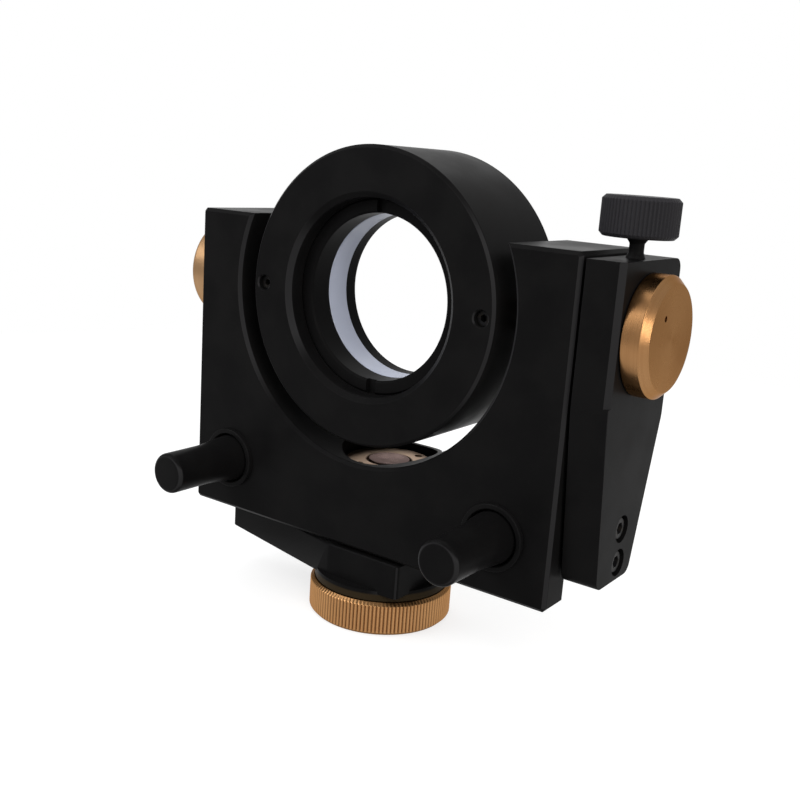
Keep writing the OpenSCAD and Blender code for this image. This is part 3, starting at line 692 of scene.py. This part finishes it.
def make_frame(black):
    """A block with a round cut, an open space behind its lower plate, and a bearing boss."""
    lo, hi = span("u_frame")
    half_w, front, back, foot, top = hi[0], lo[1], hi[1], lo[2], hi[2]
    disc_lo, disc_hi = span("bearing_disc")
    spot_depth, drop, chamfer = 1.8, -42.6, 0.9
    cut = -disc_hi[2] - spot_depth
    corner = [
        [-half_w + chamfer, foot], [half_w - chamfer, foot], [half_w, foot + chamfer],
        [half_w, top - chamfer], [half_w - chamfer, top], [-half_w + chamfer, top],
        [-half_w, top - chamfer], [-half_w, foot + chamfer],
    ]
    body = slab("frame_body", np.array(corner)[:, ::-1], 0.3, front, back, "y", chamfer)
    pocket = [[PLATE_BACK, foot - 5], [back + 5, foot - 5], [back + 5, drop], [PLATE_BACK, drop]]
    pocket = broken(pocket, [0, 0, 0, 4.0], steps=10)
    carve(body, [prism("pocket", pocket, -half_w - 5, half_w + 5, "x")])
    boss_wall = 2.3
    boss_r = disc_hi[0] + boss_wall
    boss = [[0, foot], [boss_r, foot], [boss_r, drop + 1], [0, drop + 1]]
    boss = lathe("boss", boss, [0, 0.4, 0, 0], "z")
    carve(body, [boss], "UNION")
    lips = [
        [0, front - 2], [cut + chamfer + 2, front - 2], [cut, front + chamfer],
        [cut, back - chamfer], [cut + chamfer + 2, back + 2], [0, back + 2],
    ]
    spot_r, disc_seat_r, shaft_bore_r = disc_hi[0] + 1.15, disc_hi[0] + SEATED, 8.97
    tools = [
        lathe("round_cut", lips, [0, 0, 0.3, 0.3, 0, 0], "y", sides=256),
        drill(spot_r, disc_hi[2] + 8, disc_hi[2], "z", sides=128),
        drill(disc_seat_r, disc_hi[2] + 8, disc_lo[2], "z", sides=128),
        drill(shaft_bore_r, foot - 1, -20, "z", sides=128),
        drill(BUSH_R + SEATED, -half_w - 1, half_w + 1, "x", sides=96),
    ]
    collar_r, neck_r = 8.02, 5.07
    for place in ADJUSTERS.values():
        tools.append(drill(collar_r, front - 1, CUP_FLOOR, "y", place, sides=96))
        tools.append(drill(neck_r, front - 1, PLATE_BACK + 1, "y", place, sides=96))
    spring_r, spring_depth = 3.0, 3.9
    for place in SPRINGS.values():
        tools.append(drill(spring_r, PLATE_BACK + 1, PLATE_BACK - spring_depth, "y", place))
    pitch_pin = (0, FRAME_PIN_Y, SPRINGS["pitch"][2])
    yaw_pin = (SPRINGS["yaw"][0], FRAME_PIN_Y, 0)
    tools.append(drill(PIN_HOLE_R, half_w + 1, PIN_ENDS["pitch"], "x", pitch_pin, sides=32))
    tools.append(drill(PIN_HOLE_R, foot - 1, PIN_ENDS["yaw"], "z", yaw_pin, sides=32))
    carve(body, tools)
    fitted(body, "u_frame", "frame", black)


def make_collar(side, black):
    """A flanged cup for the knob, whose threaded neck goes through the plate."""
    node = side + "_collar"
    front, plate_front = low(node)[1], low("u_frame")[1]
    cup, flange, outer, neck = 7.2, 8.7, 8.0, 5.05
    bore, inner_floor = SPINDLE_R + RUNNING, CUP_FLOOR - 0.6
    profile = [
        [cup, front], [flange, front], [flange, plate_front], [outer, plate_front],
        [outer, CUP_FLOOR], [neck, CUP_FLOOR], [neck, PLATE_BACK], [bore, PLATE_BACK],
        [bore, inner_floor], [cup, inner_floor],
    ]
    sizes = [0.4, 0.4, 0, 0, 0, 0, 0.15, 0.15, 0.1, 0.2]
    profile = broken(profile, sizes, steps=6)
    collar = turned(node + "_body", profile, "y", ADJUSTERS[side], 128, hollow=True)
    fitted(collar, node, "frame", black)


# ---- Adjusters ----


def make_knob(side, black):
    """The knob's radius grows from tip to base by half a cosine wave over its flare."""
    knob = side + "_knob"
    front, back = low(knob)[1], high(knob)[1]
    tip, base, straight, edge, rim = 5.65, 6.7, 11.0, 1.3, 0.25
    share = np.linspace(0, 1, 25)
    length = back - front - straight - edge
    radius = tip + (base - tip) * (1 - np.cos(np.pi * share)) / 2
    flare = np.stack([radius, back - length * (1 - share)], axis=1)
    flare[-1, 1] -= rim
    turn = np.linspace(0, np.pi / 2, 9)
    nose = np.stack([tip - edge + edge * np.sin(turn), front + edge * (1 - np.cos(turn))], axis=1)
    hole_r, hole_end = SPINDLE_R + SEATED, back - 8.02
    tail = [[base - rim, back], [hole_r, back], [hole_r, hole_end], [0, hole_end]]
    profile = np.vstack([[[0, front], [tip - edge - 0.1, front]], nose, flare, tail])
    body = turned(side + "_knob_body", profile, "y", ADJUSTERS[side], 128)
    fitted(body, knob, side + "_adjuster", black)


def make_spindle(side, bright):
    """A threaded rod with a round socket for the ball in its end."""
    spindle = side + "_spindle"
    pitch, depth = 0.75, 0.32
    start, end = -23.0, high(spindle)[1]
    rod = threaded(spindle + "_body", SPINDLE_R, pitch, depth, start, end, "y", ADJUSTERS[side])
    carve(rod, [sphere("socket", side + "_ball", RUNNING)])
    fitted(rod, spindle, side + "_adjuster", bright)


def sphere(name, node, extra=0.0):
    """A sphere in a ball's place: radius times the sine and the cosine of the polar angle."""
    lo, hi = span(node)
    centre, radius = (lo + hi) / 2, (hi - lo)[0] / 2 + extra
    polar = np.linspace(0, np.pi, 33)
    profile = np.stack([radius * np.sin(polar), -radius * np.cos(polar)], axis=1)
    return turned(name, profile, "y", centre, SMALL)


def make_ball(side, bright):
    """The steel ball that sits in the socket of the spindle's end."""
    ball = sphere(side + "_thrust_ball", side + "_ball")
    fitted(ball, side + "_ball", side + "_thrust", bright)


# ---- Level axis ----


def make_left_bearing(brass):
    """A flanged disc outside the frame, whose neck holds the left shaft."""
    lo, hi = span("left_bearing")
    face, radius, seat = lo[0], hi[2], low("u_frame")[0]
    bore, floor = TRUNNION_R + RUNNING, face + 2.9
    profile = [
        [0, face], [radius, face], [radius, seat], [BUSH_R, seat], [BUSH_R, hi[0]], [bore, hi[0]],
        [bore, floor], [0, floor],
    ]
    rounds = [0, 0.9, 0.2, 0, 0.2, 0.2, 0, 0]
    bearing = lathe("left_bearing_body", profile, rounds, "x")
    fitted(bearing, "left_bearing", "frame", brass)


def make_trunnion_disc(brass):
    """The right disc, which turns with the cell, with a bevelled face and a small mark in it."""
    lo, hi = span("trunnion_disc")
    radius, bevel, thick = hi[2], 1.8, hi[0] - lo[0]
    profile = [[0, 0], [radius, 0], [radius, thick - bevel], [radius - bevel, thick], [0, thick]]
    rounds = [0, 0.2, 0.25, 0.25, 0]
    disc = lathe("trunnion_disc_body", profile, rounds, "x", (lo[0], 0, 0))
    cover, mark_r = 1.6, 0.7
    shaft = drill(TRUNNION_R + SEATED, lo[0] - 1, lo[0] + thick - cover, "x")
    mark = drill(mark_r, hi[0] + 0.2, hi[0] - mark_r, "x", (0, -5.0, 5.0), sides=32)
    carve(disc, [shaft, mark])
    fitted(disc, "trunnion_disc", "cell", brass)


def make_right_bush(brass):
    """A flanged bush turned round X, in the frame's right side."""
    lo, hi = span("right_bush")
    seat, bore, flange = high("u_frame")[0], TRUNNION_R + RUNNING, 10.0
    profile = [
        [bore, lo[0]], [BUSH_R, lo[0]], [BUSH_R, seat], [flange, seat], [flange, hi[0]],
        [bore, hi[0]],
    ]
    rounds = [0.2, 0.2, 0, 0.25, 0.25, 0.2]
    bush = lathe("right_bush_body", profile, rounds, "x", sides=96, hollow=True)
    fitted(bush, "right_bush", "frame", brass)


def make_trunnion(side, rod_steel):
    """A shaft with a flat-bottomed seat for its grub screw."""
    node = side + "_trunnion"
    lo, hi = span(node)
    profile = [[0, lo[0]], [TRUNNION_R, lo[0]], [TRUNNION_R, hi[0]], [0, hi[0]]]
    rod = lathe(node + "_rod", profile, [0, 0.4, 0.4, 0], "x", sides=96)
    place = grub_place() if side == "right" else -grub_place()
    outside, seat = -38.0, -3.6
    carve(rod, [drill(GRUB_R, outside, seat, "y", (place, 0, 0))])
    fitted(rod, node, "cell", rod_steel)


# ---- Arms, feet and screws ----


def make_pitch_arm(black):
    """A tapered plate with a chamfer along the upper part of its front edge."""
    lo, hi = span("pitch_arm")
    inner, outer, foot, top = lo[0], hi[0], lo[2], hi[2]
    front, back, kink_front, kink_back = -16.0, 17.2, -17.0, -22.0
    points = [
        [front, top], [front, kink_front], [-10.8, foot], [7.6, foot], [back, kink_back],
        [back, top],
    ]
    arm = slab("pitch_arm_body", points, [0.2, 0.3, 3.0, 3.0, 6.0, 3.0], inner, outer, "x", steps=8)
    size, past = 1.3, 4
    wedge = [
        [outer - size - past, front - past], [outer + past, front + size + past],
        [outer + past, front - past],
    ]
    tools = [
        prism("wedge", wedge, kink_front + size, top + 2, "z"),
        drill(TRUNNION_R + RUNNING, inner - 1, outer + 1, "x"),
        drill(2.35, top + 1, 0.0, "z", ((inner + outer) / 2, 0, 0)),
    ]
    for place in SCREW_PLACES:
        at = (0, FOOT_MID_Y, place + ADJUSTERS["pitch"][2])
        tools.append(drill(SCREW_HOLE_R, outer + 1, inner - 1, "x", at))
        tools.append(drill(POCKET_R, outer + 1, outer - POCKET_DEPTH, "x", at))
    carve(arm, tools)
    fitted(arm, "pitch_arm", "pitch_arm", black)


def make_pitch_screws(black):
    """The cap screws of the pitch foot, one above the other."""
    x, z = high("pitch_arm")[0] - POCKET_DEPTH, ADJUSTERS["pitch"][2]
    heads = [cap_screw("x", (x, FOOT_MID_Y, z + place), 1, 12.7) for place in SCREW_PLACES]
    whole = joined("pitch_foot_screws", heads)
    fitted(whole, "pitch_screws", "pitch_arm", black)


def cap_screw(axis, at, way, length):
    """A cap screw: a turned head with a hexagonal socket and fine grooves round it."""
    at = np.asarray(at, float)
    step = float(way)
    thread_r, head_r, head_h, key_foot = 1.5, 2.8, 3.0, 1.4
    key_r = 1.4 / math.cos(math.pi / 6)
    profile = [
        [0, -length], [thread_r, -length], [thread_r, 0], [head_r, 0], [head_r, head_h],
        [0, head_h],
    ]
    profile = broken(profile, [0, 0.3, 0, 0.15, 0.35, 0], closed=False)
    profile[:, 1] *= step
    head = fluted("cap_screw", profile, 36, 0.07, axis, at, per_tooth=4)
    key = prism("key", hexagon(key_r), key_foot, head_h + 1, axis)
    key.data.transform(Matrix.Diagonal(tuple(np.where(AXES[axis][2] > 0, step, 1.0)) + (1.0,)))
    key.data.transform(Matrix.Translation(tuple(at * MM)))
    turn_outwards(key.data)
    return carve(head, [key])


def make_foot(side, axis, pin, black):
    """A foot: a bar with small chamfers, a cross hole for the spring and a hole for its pin."""
    node = side + "_foot"
    lo, hi = span(node)
    u, v, w = {"x": (1, 2, 0), "z": (0, 1, 2)}[axis]
    outline = [[lo[u], lo[v]], [hi[u], lo[v]], [hi[u], hi[v]], [lo[u], hi[v]]]
    foot = slab(node + "_body", outline, 0.6, lo[w], hi[w], axis, 0.3)
    spring_r = 2.4
    carve(foot, [drill(spring_r, -5, 6, "y", SPRINGS[side]), drill(PIN_HOLE_R, *pin)])
    fitted(foot, node, side + "_arm", black)


def make_feet(black):
    """Both feet. The pitch foot's pin lies along X and the yaw foot's along Z."""
    x, z = SPRINGS["yaw"][0], SPRINGS["pitch"][2]
    pitch_pin = (high("pitch_foot")[0] + 1, PIN_ENDS["pitch"], "x", (0, FOOT_PIN_Y, z))
    yaw_pin = (low("yaw_foot")[2] - 1, PIN_ENDS["yaw"], "z", (x, FOOT_PIN_Y, 0))
    make_foot("pitch", "x", pitch_pin, black)
    make_foot("yaw", "z", yaw_pin, black)


def yaw_plate_foot():
    """Height of the underside of the yaw arm's plate, above which its hub begins."""
    hub_drop = 2.0
    return low("yaw_arm")[2] + hub_drop


def make_yaw_arm(black):
    """A plate that narrows to its left end, with a round hub under it."""
    lo, hi = span("yaw_arm")
    top, hub_foot, foot, end = hi[2], lo[2], yaw_plate_foot(), lo[0]
    points = [[16.5, -16.0], [16.5, 15.0], [-22.0, 15.0], [end, 4.9], [end, -5.4], [-7.3, -16.0]]
    rounds = [1.3, 3.0, 6.0, 1.3, 1.3, 5.0]
    arm = slab("yaw_arm_body", points, rounds, foot, top, "z", 0.3, steps=8)
    hub_r = 19.1
    hub = [[0, hub_foot], [hub_r, hub_foot], [hub_r, foot + 1], [0, foot + 1]]
    carve(arm, [lathe("hub", hub, [0, 0.3, 0, 0], "z")], "UNION")
    tools = [drill(SHAFT_R + RUNNING, hub_foot - 1, top + 1, "z", sides=128)]
    for place in SCREW_PLACES:
        at = (place + ADJUSTERS["yaw"][0], FOOT_MID_Y, 0)
        tools.append(drill(SCREW_HOLE_R, foot - 1, top + 1, "z", at))
        tools.append(drill(POCKET_R, foot - 1, foot + POCKET_DEPTH, "z", at))
    carve(arm, tools)
    fitted(arm, "yaw_arm", "yaw_arm", black)


def make_yaw_screws(black):
    """The cap screws of the yaw foot, side by side."""
    x, z = ADJUSTERS["yaw"][0], yaw_plate_foot() + POCKET_DEPTH
    heads = [cap_screw("z", (x + place, FOOT_MID_Y, z), -1, 13.1) for place in SCREW_PLACES]
    fitted(joined("yaw_foot_screws", heads), "yaw_screws", "yaw_arm", black)


# ---- Clamps ----


def thumb_place():
    """How far right the thumb screw's axis stands."""
    return (low("thumb_screw")[0] + high("thumb_screw")[0]) / 2


def make_thumb_screw(black):
    """A grooved head on a waisted neck."""
    lo, hi = span("thumb_screw")
    radius, top, foot = (hi[0] - lo[0]) / 2, hi[2], lo[2]
    under, seat = top - 9.4, high("pitch_arm")[2] + RUNNING
    thread_r, neck_r, waist, edge = 2.3, 1.75, 1.3, 0.9
    profile = [
        [0, foot], [thread_r, foot], [thread_r, seat], [neck_r, seat + waist],
        [neck_r, under - waist], [neck_r + 1, under], [radius - edge, under],
        [radius, under + edge], [radius, top - edge], [radius - edge, top], [0, top],
    ]
    profile = broken(profile, [0, 0.2, 0.4, 0.8, 0.8, 0.1, 0.2, 0.2, 0.2, 0.2, 0], closed=False)
    grooves, depth = 60, 0.3
    screw = fluted("thumb_screw_body", profile, grooves, depth, "z", (thumb_place(), 0, 0))
    fitted(screw, "thumb_screw", "thumb", black)


def make_base_knob(brass):
    """A grooved ring turned round Z, with a chamfer above and below."""
    lo, hi = span("base_knob")
    radius, foot, top, bore, edge = hi[0], lo[2], hi[2], SHAFT_R + RUNNING, 1.0
    profile = [
        [bore, foot], [radius - edge, foot], [radius, foot + edge], [radius, top - edge],
        [radius - edge, top], [bore, top],
    ]
    profile = broken(profile, [0.3, 0.2, 0.15, 0.15, 0.2, 0.3])
    grooves, depth = 118, 0.32
    knob = fluted("base_knob_body", profile, grooves, depth, "z", hollow=True)
    fitted(knob, "base_knob", "base_nut", brass)


# ---- Upright axis ----


def make_bearing_disc(alloy):
    """The disc that screws into the frame, with two holes for a spanner."""
    lo, hi = span("bearing_disc")
    radius, bore = hi[0], SHAFT_R + RUNNING
    profile = [[bore, lo[2]], [radius, lo[2]], [radius, hi[2]], [bore, hi[2]]]
    disc = lathe("bearing_disc_body", profile, [0.2, 0.5, 0.5, 0.3], "z", hollow=True)
    hole_r, reach = 1.1, 9.8
    holes = []
    for turn in np.radians([68.0, 248.0]):
        at = (reach * math.cos(turn), reach * math.sin(turn), 0)
        holes.append(drill(hole_r, hi[2] + 1, lo[2] + 1.85, "z", at))
    carve(disc, holes)
    fitted(disc, "bearing_disc", "frame", alloy)


def make_upright_shaft(rod_steel):
    """A flanged shaft with a step round its top end and a threaded hole in its foot."""
    lo, hi = span("upright_shaft")
    foot, top = lo[2], hi[2]
    flange = high("bearing_disc")[2] - 3.75
    flange_r, flange_t, step_r, step_h = 8.85, 1.7, 5.75, 1.0
    profile = [
        [0, foot], [SHAFT_R, foot], [SHAFT_R, flange - flange_t], [flange_r, flange - flange_t],
        [flange_r, flange], [SHAFT_R, flange], [SHAFT_R, top - step_h], [step_r, top - step_h],
        [step_r, top], [0, top],
    ]
    rounds = [0, 0.4, 0, 0.3, 0.3, 0, 0.1, 0.1, 0.15, 0]
    shaft = lathe("upright_shaft_body", profile, rounds, "z", sides=128)
    tap_r, pitch, depth, length = 2.75, 1.0, 0.5, 15.0
    tap = threaded("tap", tap_r, pitch, depth, foot - 2.0, foot + length, "z")
    carve(shaft, [tap])
    fitted(shaft, "upright_shaft", "root", rod_steel)


def make_lower_bush(brass):
    """A flanged bush turned round Z, in the foot of the frame's boss."""
    lo, hi = span("lower_bush")
    bore, neck, flange, seat = SHAFT_R + RUNNING, 8.95, hi[0], low("u_frame")[2]
    profile = [
        [bore, lo[2]], [flange, lo[2]], [flange, seat], [neck, seat], [neck, hi[2]], [bore, hi[2]],
    ]
    rounds = [0.2, 0.2, 0.1, 0, 0.3, 0.3]
    bush = lathe("lower_bush_body", profile, rounds, "z", hollow=True)
    fitted(bush, "lower_bush", "frame", brass)


# ---- Springs ----


def tube(name, path, radius, sides=12):
    """Carries a circle along a path, across its direction, and turns the circle's start as
    little as possible from point to point."""
    path = np.asarray(path, float)
    ahead = np.gradient(path, axis=0)
    ahead /= np.linalg.norm(ahead, axis=1, keepdims=True)
    side = np.zeros_like(path)
    seed = np.cross(ahead[0], [0.3, 0.5, 0.8])
    side[0] = seed / np.linalg.norm(seed)
    for i in range(1, len(path)):
        flat = side[i - 1] - ahead[i] * (side[i - 1] @ ahead[i])
        side[i] = flat / np.linalg.norm(flat)
    up = np.cross(ahead, side)
    angle = np.linspace(0, 2 * np.pi, sides, endpoint=False)
    ring = np.cos(angle)[None, :, None] * side[:, None] + np.sin(angle)[None, :, None] * up[:, None]
    return woven(name, path[:, None] + radius * ring, lids=True)


def make_spring(side, across, bright):
    """An extension spring along Y: a helix between two open hooks that lie over the pins."""
    wire, coil, hook, turns = 0.25, 1.6, 0.9, 11
    near, far, at = FRAME_PIN_Y, FOOT_PIN_Y, SPRINGS[side]
    begin, stop = near + hook + 2 * wire, far - hook - 2 * wire
    t = np.linspace(0, 1, 20 * turns + 1)
    angle = 2 * np.pi * turns * t
    helix = np.stack([coil * np.cos(angle), begin + (stop - begin) * t, coil * np.sin(angle)], axis=1)
    bend = np.radians(np.linspace(225, 0, 19))
    first = np.stack([hook * np.cos(bend), near - hook * np.sin(bend), 0 * bend], axis=1)
    last = np.stack([hook * np.cos(bend), far + hook * np.sin(bend), 0 * bend], axis=1)[::-1]
    path = np.vstack([first, helix, last])
    if across == "x":
        path = np.stack([path[:, 2], path[:, 1], -path[:, 0]], axis=1)
    spring = tube(side + "_return_spring", path + np.asarray(at, float), wire)
    spring.data.materials.append(bright)
    spring.data.shade_smooth()
    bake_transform(spring)
    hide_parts(side + "_spring")


# ---- Everything ----


def black_finishes():
    """The anodised finishes, and the blackened one of the screws."""
    # Painted highlight on chamfered corners, in a greyer black; on the frame only away from its middle
    corners = (painted_corner_highlight(), CORNER_HIGHLIGHT_TONE)
    outer_corner_highlight = (painted_corner_highlight(beyond=0.030), CORNER_HIGHLIGHT_TONE)
    # Painted reflection: a brown tint on the yaw arm's hub below its plate, standing in for the bronze
    # knob mirrored there
    painted_reflection = (above(yaw_plate_foot() * MM, -1.0), (0.034, 0.024, 0.013))
    # Painted sheen: a greyer black over the thumb screw's head, in place of the light on its grooves
    head_foot = (high("thumb_screw")[2] - 9.2) * MM
    painted_head_sheen = (above(head_foot), (0.031, 0.030, 0.033))
    thumb_axis = (thumb_place() * MM, 0, 0)
    return {
        "milled": anodised("black_anodised_milled", painted_light=[corners]),
        "frame": anodised("black_anodised_frame", painted_light=[outer_corner_highlight]),
        "cell": anodised("black_anodised_cell", "y", painted_light=[corners]),
        "ring": anodised("black_anodised_ring", "y", tone=0.8),
        "painted_reflection": anodised("black_anodised_painted_reflection", painted_light=[corners, painted_reflection]),
        "thumb": anodised("black_thumb", "z", thumb_axis, tone=1.6, painted_light=[painted_head_sheen]),
        "screws": black_oxide("black_oxide_screws"),
    }


def bright_finishes():
    """The bronzes and steels of the two axes, and the springs' wire."""
    # Radii below which painted shade darkens the knob's flutes and the bearing disc's bore
    rim = high("base_knob")[0] * MM
    grooves, step = (rim - 0.00034, rim - 0.00006), (0.0066, 0.0068)
    return {
        "level": bronze("bronze_level", "x", warm=(0.33, 0.205, 0.11)),
        "disc": bronze("bronze_disc", "x", warm=(0.31, 0.168, 0.074), gloss=0.28, painted_sheen=0.35),
        "upright": bronze("bronze_upright", "z", warm=(0.43, 0.23, 0.098), groove=grooves),
        "alloy": bronze("bearing_alloy", "z", warm=(0.53, 0.41, 0.32), gloss=0.30, groove=step),
        "rod": steel("steel_level", "x"),
        # The upright shaft gets painted shade beyond 5.8 mm, round its end in the bearing disc
        "shaft": steel("steel_upright", "z", tone=(0.24, 0.17, 0.155), rim=0.0058),
        "wire": steel("bright_wire", "y", tone=(0.60, 0.59, 0.58), gloss=0.2),
    }


def make_adjuster(side):
    """One fine drive's collar, knob, spindle and ball, all round one line along Y."""
    centre = tuple(MM * c for c in ADJUSTERS[side])
    # Painted highlight on the knob's rounded tip, over a wider spread of corner angles
    painted_tone = [(painted_corner_highlight(spread=0.3), CORNER_HIGHLIGHT_TONE)]
    bright = steel("steel_" + side, "y", centre)
    make_collar(side, anodised("black_collar_" + side, "y", centre, tone=1.2, gloss=0.28))
    make_knob(side, anodised("black_knob_" + side, "y", centre, gloss=0.34, painted_light=painted_tone))
    make_spindle(side, bright)
    make_ball(side, bright)


def finish_node(node, material):
    """Gives a node that keeps its CAD shape a finer material."""
    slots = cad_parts[node].data.materials
    slots.clear()
    slots.append(material)


def dress():
    """Makes every piece with its finish, and gives the pins and the pad theirs."""
    black, bright = black_finishes(), bright_finishes()
    make_cell(black["cell"])
    make_retaining_ring(black["ring"])
    make_seat_ring(nylon("white_nylon_seat"))
    make_grub_screws(black["screws"])
    make_frame(black["frame"])
    make_adjuster("pitch")
    make_adjuster("yaw")
    make_left_bearing(bright["level"])
    make_trunnion_disc(bright["disc"])
    make_right_bush(bright["level"])
    make_trunnion("left", bright["rod"])
    make_trunnion("right", bright["rod"])
    make_pitch_arm(black["milled"])
    make_pitch_screws(black["screws"])
    make_yaw_arm(black["painted_reflection"])
    make_yaw_screws(black["screws"])
    make_thumb_screw(black["thumb"])
    make_base_knob(bright["upright"])
    make_bearing_disc(bright["alloy"])
    make_upright_shaft(bright["shaft"])
    make_lower_bush(bright["upright"])
    make_feet(black["milled"])
    make_spring("pitch", "x", bright["wire"])
    make_spring("yaw", "z", bright["wire"])
    for node in ("frame_pins", "pitch_foot_pin", "yaw_foot_pin"):
        finish_node(node, bright["wire"])
    finish_node("pressure_pad", bright["level"])


# ---- Camera, light and ground ----


def aim(thing, axes, place):
    """Puts a camera or a lamp at a place, with its own axes along three directions."""
    turn = np.eye(4)
    turn[:3, :3] = np.stack(axes, axis=1)
    turn[:3, 3] = place
    thing.matrix_world = Matrix(turn.tolist())


def place_camera():
    """A camera whose axes are the view's right, up and back directions, rolled about its view."""
    yaw, pitch, roll = 0.6114297, 0.2290816, 0.0703710
    place = (160.5554, -225.7995, 35.5599)
    film_width, lens_to_film = 36.0, 1026.083 / 800
    ahead = np.array(
        [-math.sin(yaw) * math.cos(pitch), math.cos(yaw) * math.cos(pitch), -math.sin(pitch)]
    )
    right = np.cross(ahead, [0, 0, 1])
    right /= np.linalg.norm(right)
    up = np.cross(right, ahead)
    level = math.cos(roll) * right + math.sin(roll) * up
    tilt = math.cos(roll) * up - math.sin(roll) * right
    data = bpy.data.cameras.new("view")
    data.sensor_width = film_width
    data.lens = lens_to_film * film_width
    data.clip_start, data.clip_end = 0.01, 20.0
    camera = linked("view", data)
    aim(camera, [level, tilt, -ahead], np.array(place) * MM)
    bpy.context.scene.camera = camera


def lamp(name, direction, distance, width, height, strength, tint=(1.0, 1.0, 1.0)):
    """A rectangular soft lamp that faces the middle of the mount. Its power grows with its area."""
    data = bpy.data.lights.new(name, "AREA")
    data.shape = "RECTANGLE"
    data.size, data.size_y = width, height
    data.energy = strength * width * height * math.pi
    data.color = tint
    light = linked(name, data)
    middle = np.array([0, 0, -0.02])
    toward = np.array(direction, float)
    toward /= np.linalg.norm(toward)
    across = np.cross([0, 0, 1], toward)
    across /= np.linalg.norm(across)
    aim(light, [across, np.cross(toward, across), toward], toward * distance + middle)
    light.visible_camera = False


def light_scene():
    """Five soft lamps. A direction points from the mount to its lamp."""
    lamp("key_lamp", (0.66, -0.52, 0.52), 0.75, 0.24, 0.24, 6.5, (1.0, 0.985, 0.96))
    lamp("side_lamp", (0.925, -0.345, 0.20), 0.65, 0.09, 0.28, 10.0, (1.0, 0.97, 0.92))
    lamp("top_lamp", (-0.1, 0.15, 1.0), 0.8, 0.7, 0.7, 0.9)
    lamp("back_lamp", (-0.35, 0.55, 0.90), 0.8, 0.5, 0.5, 1.5)
    lamp("left_lamp", (-0.5, -0.65, 0.55), 0.35, 0.20, 0.20, 5.0, (0.96, 0.98, 1.0))


def is_ray(web, kind):
    """One for rays of a kind, and nought for the rest."""
    return web.node("LightPath", output={"camera": 0, "glossy": 3, "transmission": 6}[kind])


def mirrored(web):
    """One for the rays that gloss and glass send on."""
    return web.math("MAXIMUM", is_ray(web, "glossy"), is_ray(web, "transmission"))


def set_world():
    """White to the camera. Gloss and glass see that white behind the mount and a dim room in
    front, and the room itself gives a low even light."""
    world = bpy.data.worlds.new("studio")
    bpy.context.scene.world = world
    world.use_nodes = True
    web = Web(world.node_tree)
    where = web.node("TexCoord", output=0)
    away, room, even_light = (-0.57, 0.82, 0.05), 0.75, 0.50
    toward = web.node("VectorMath", {"operation": "DOT_PRODUCT"}, {0: where, 1: away}, output=1)
    behind = web.between(toward, 0.62, 0.98, room, 1.0)
    sees = mirrored(web)
    seen = sees * behind + (1.0 - sees) * even_light
    camera = is_ray(web, "camera")
    strength = camera + (1.0 - camera) * seen
    shade = web.node("Background", {}, {"Color": colour(1, 1, 1), "Strength": strength})
    web.node("OutputWorld", {}, {"Surface": shade})


def make_floor():
    """A round pale floor, whose glow joins it to the background and leaves its shadow."""
    reach = np.array([0, 30, 60, 100, 160, 240, 340, 450], float)
    rings = np.stack([reach, 0 * reach], axis=1)
    floor = turned("floor", rings, "z", (0, 0, low("base_knob")[2]), 96)
    material = bpy.data.materials.new("pale_floor")
    material.use_nodes = True
    web = Web(material.node_tree)
    tone, share = 0.38, 0.73
    matt = web.node("BsdfDiffuse", {}, {"Color": colour(tone, tone, tone)})
    sees = web.math("MAXIMUM", is_ray(web, "camera"), mirrored(web))
    glow = web.node("Emission", {}, {"Color": colour(1, 1, 1), "Strength": sees * share})
    both = web.node("AddShader", {}, {0: matt, 1: glow})
    web.node("OutputMaterial", {}, {"Surface": both})
    floor.data.materials.append(material)


dress()
make_floor()
set_world()
light_scene()
place_camera()
bpy.context.scene.view_settings.view_transform = "Standard"

bpy.context.view_layer.update()
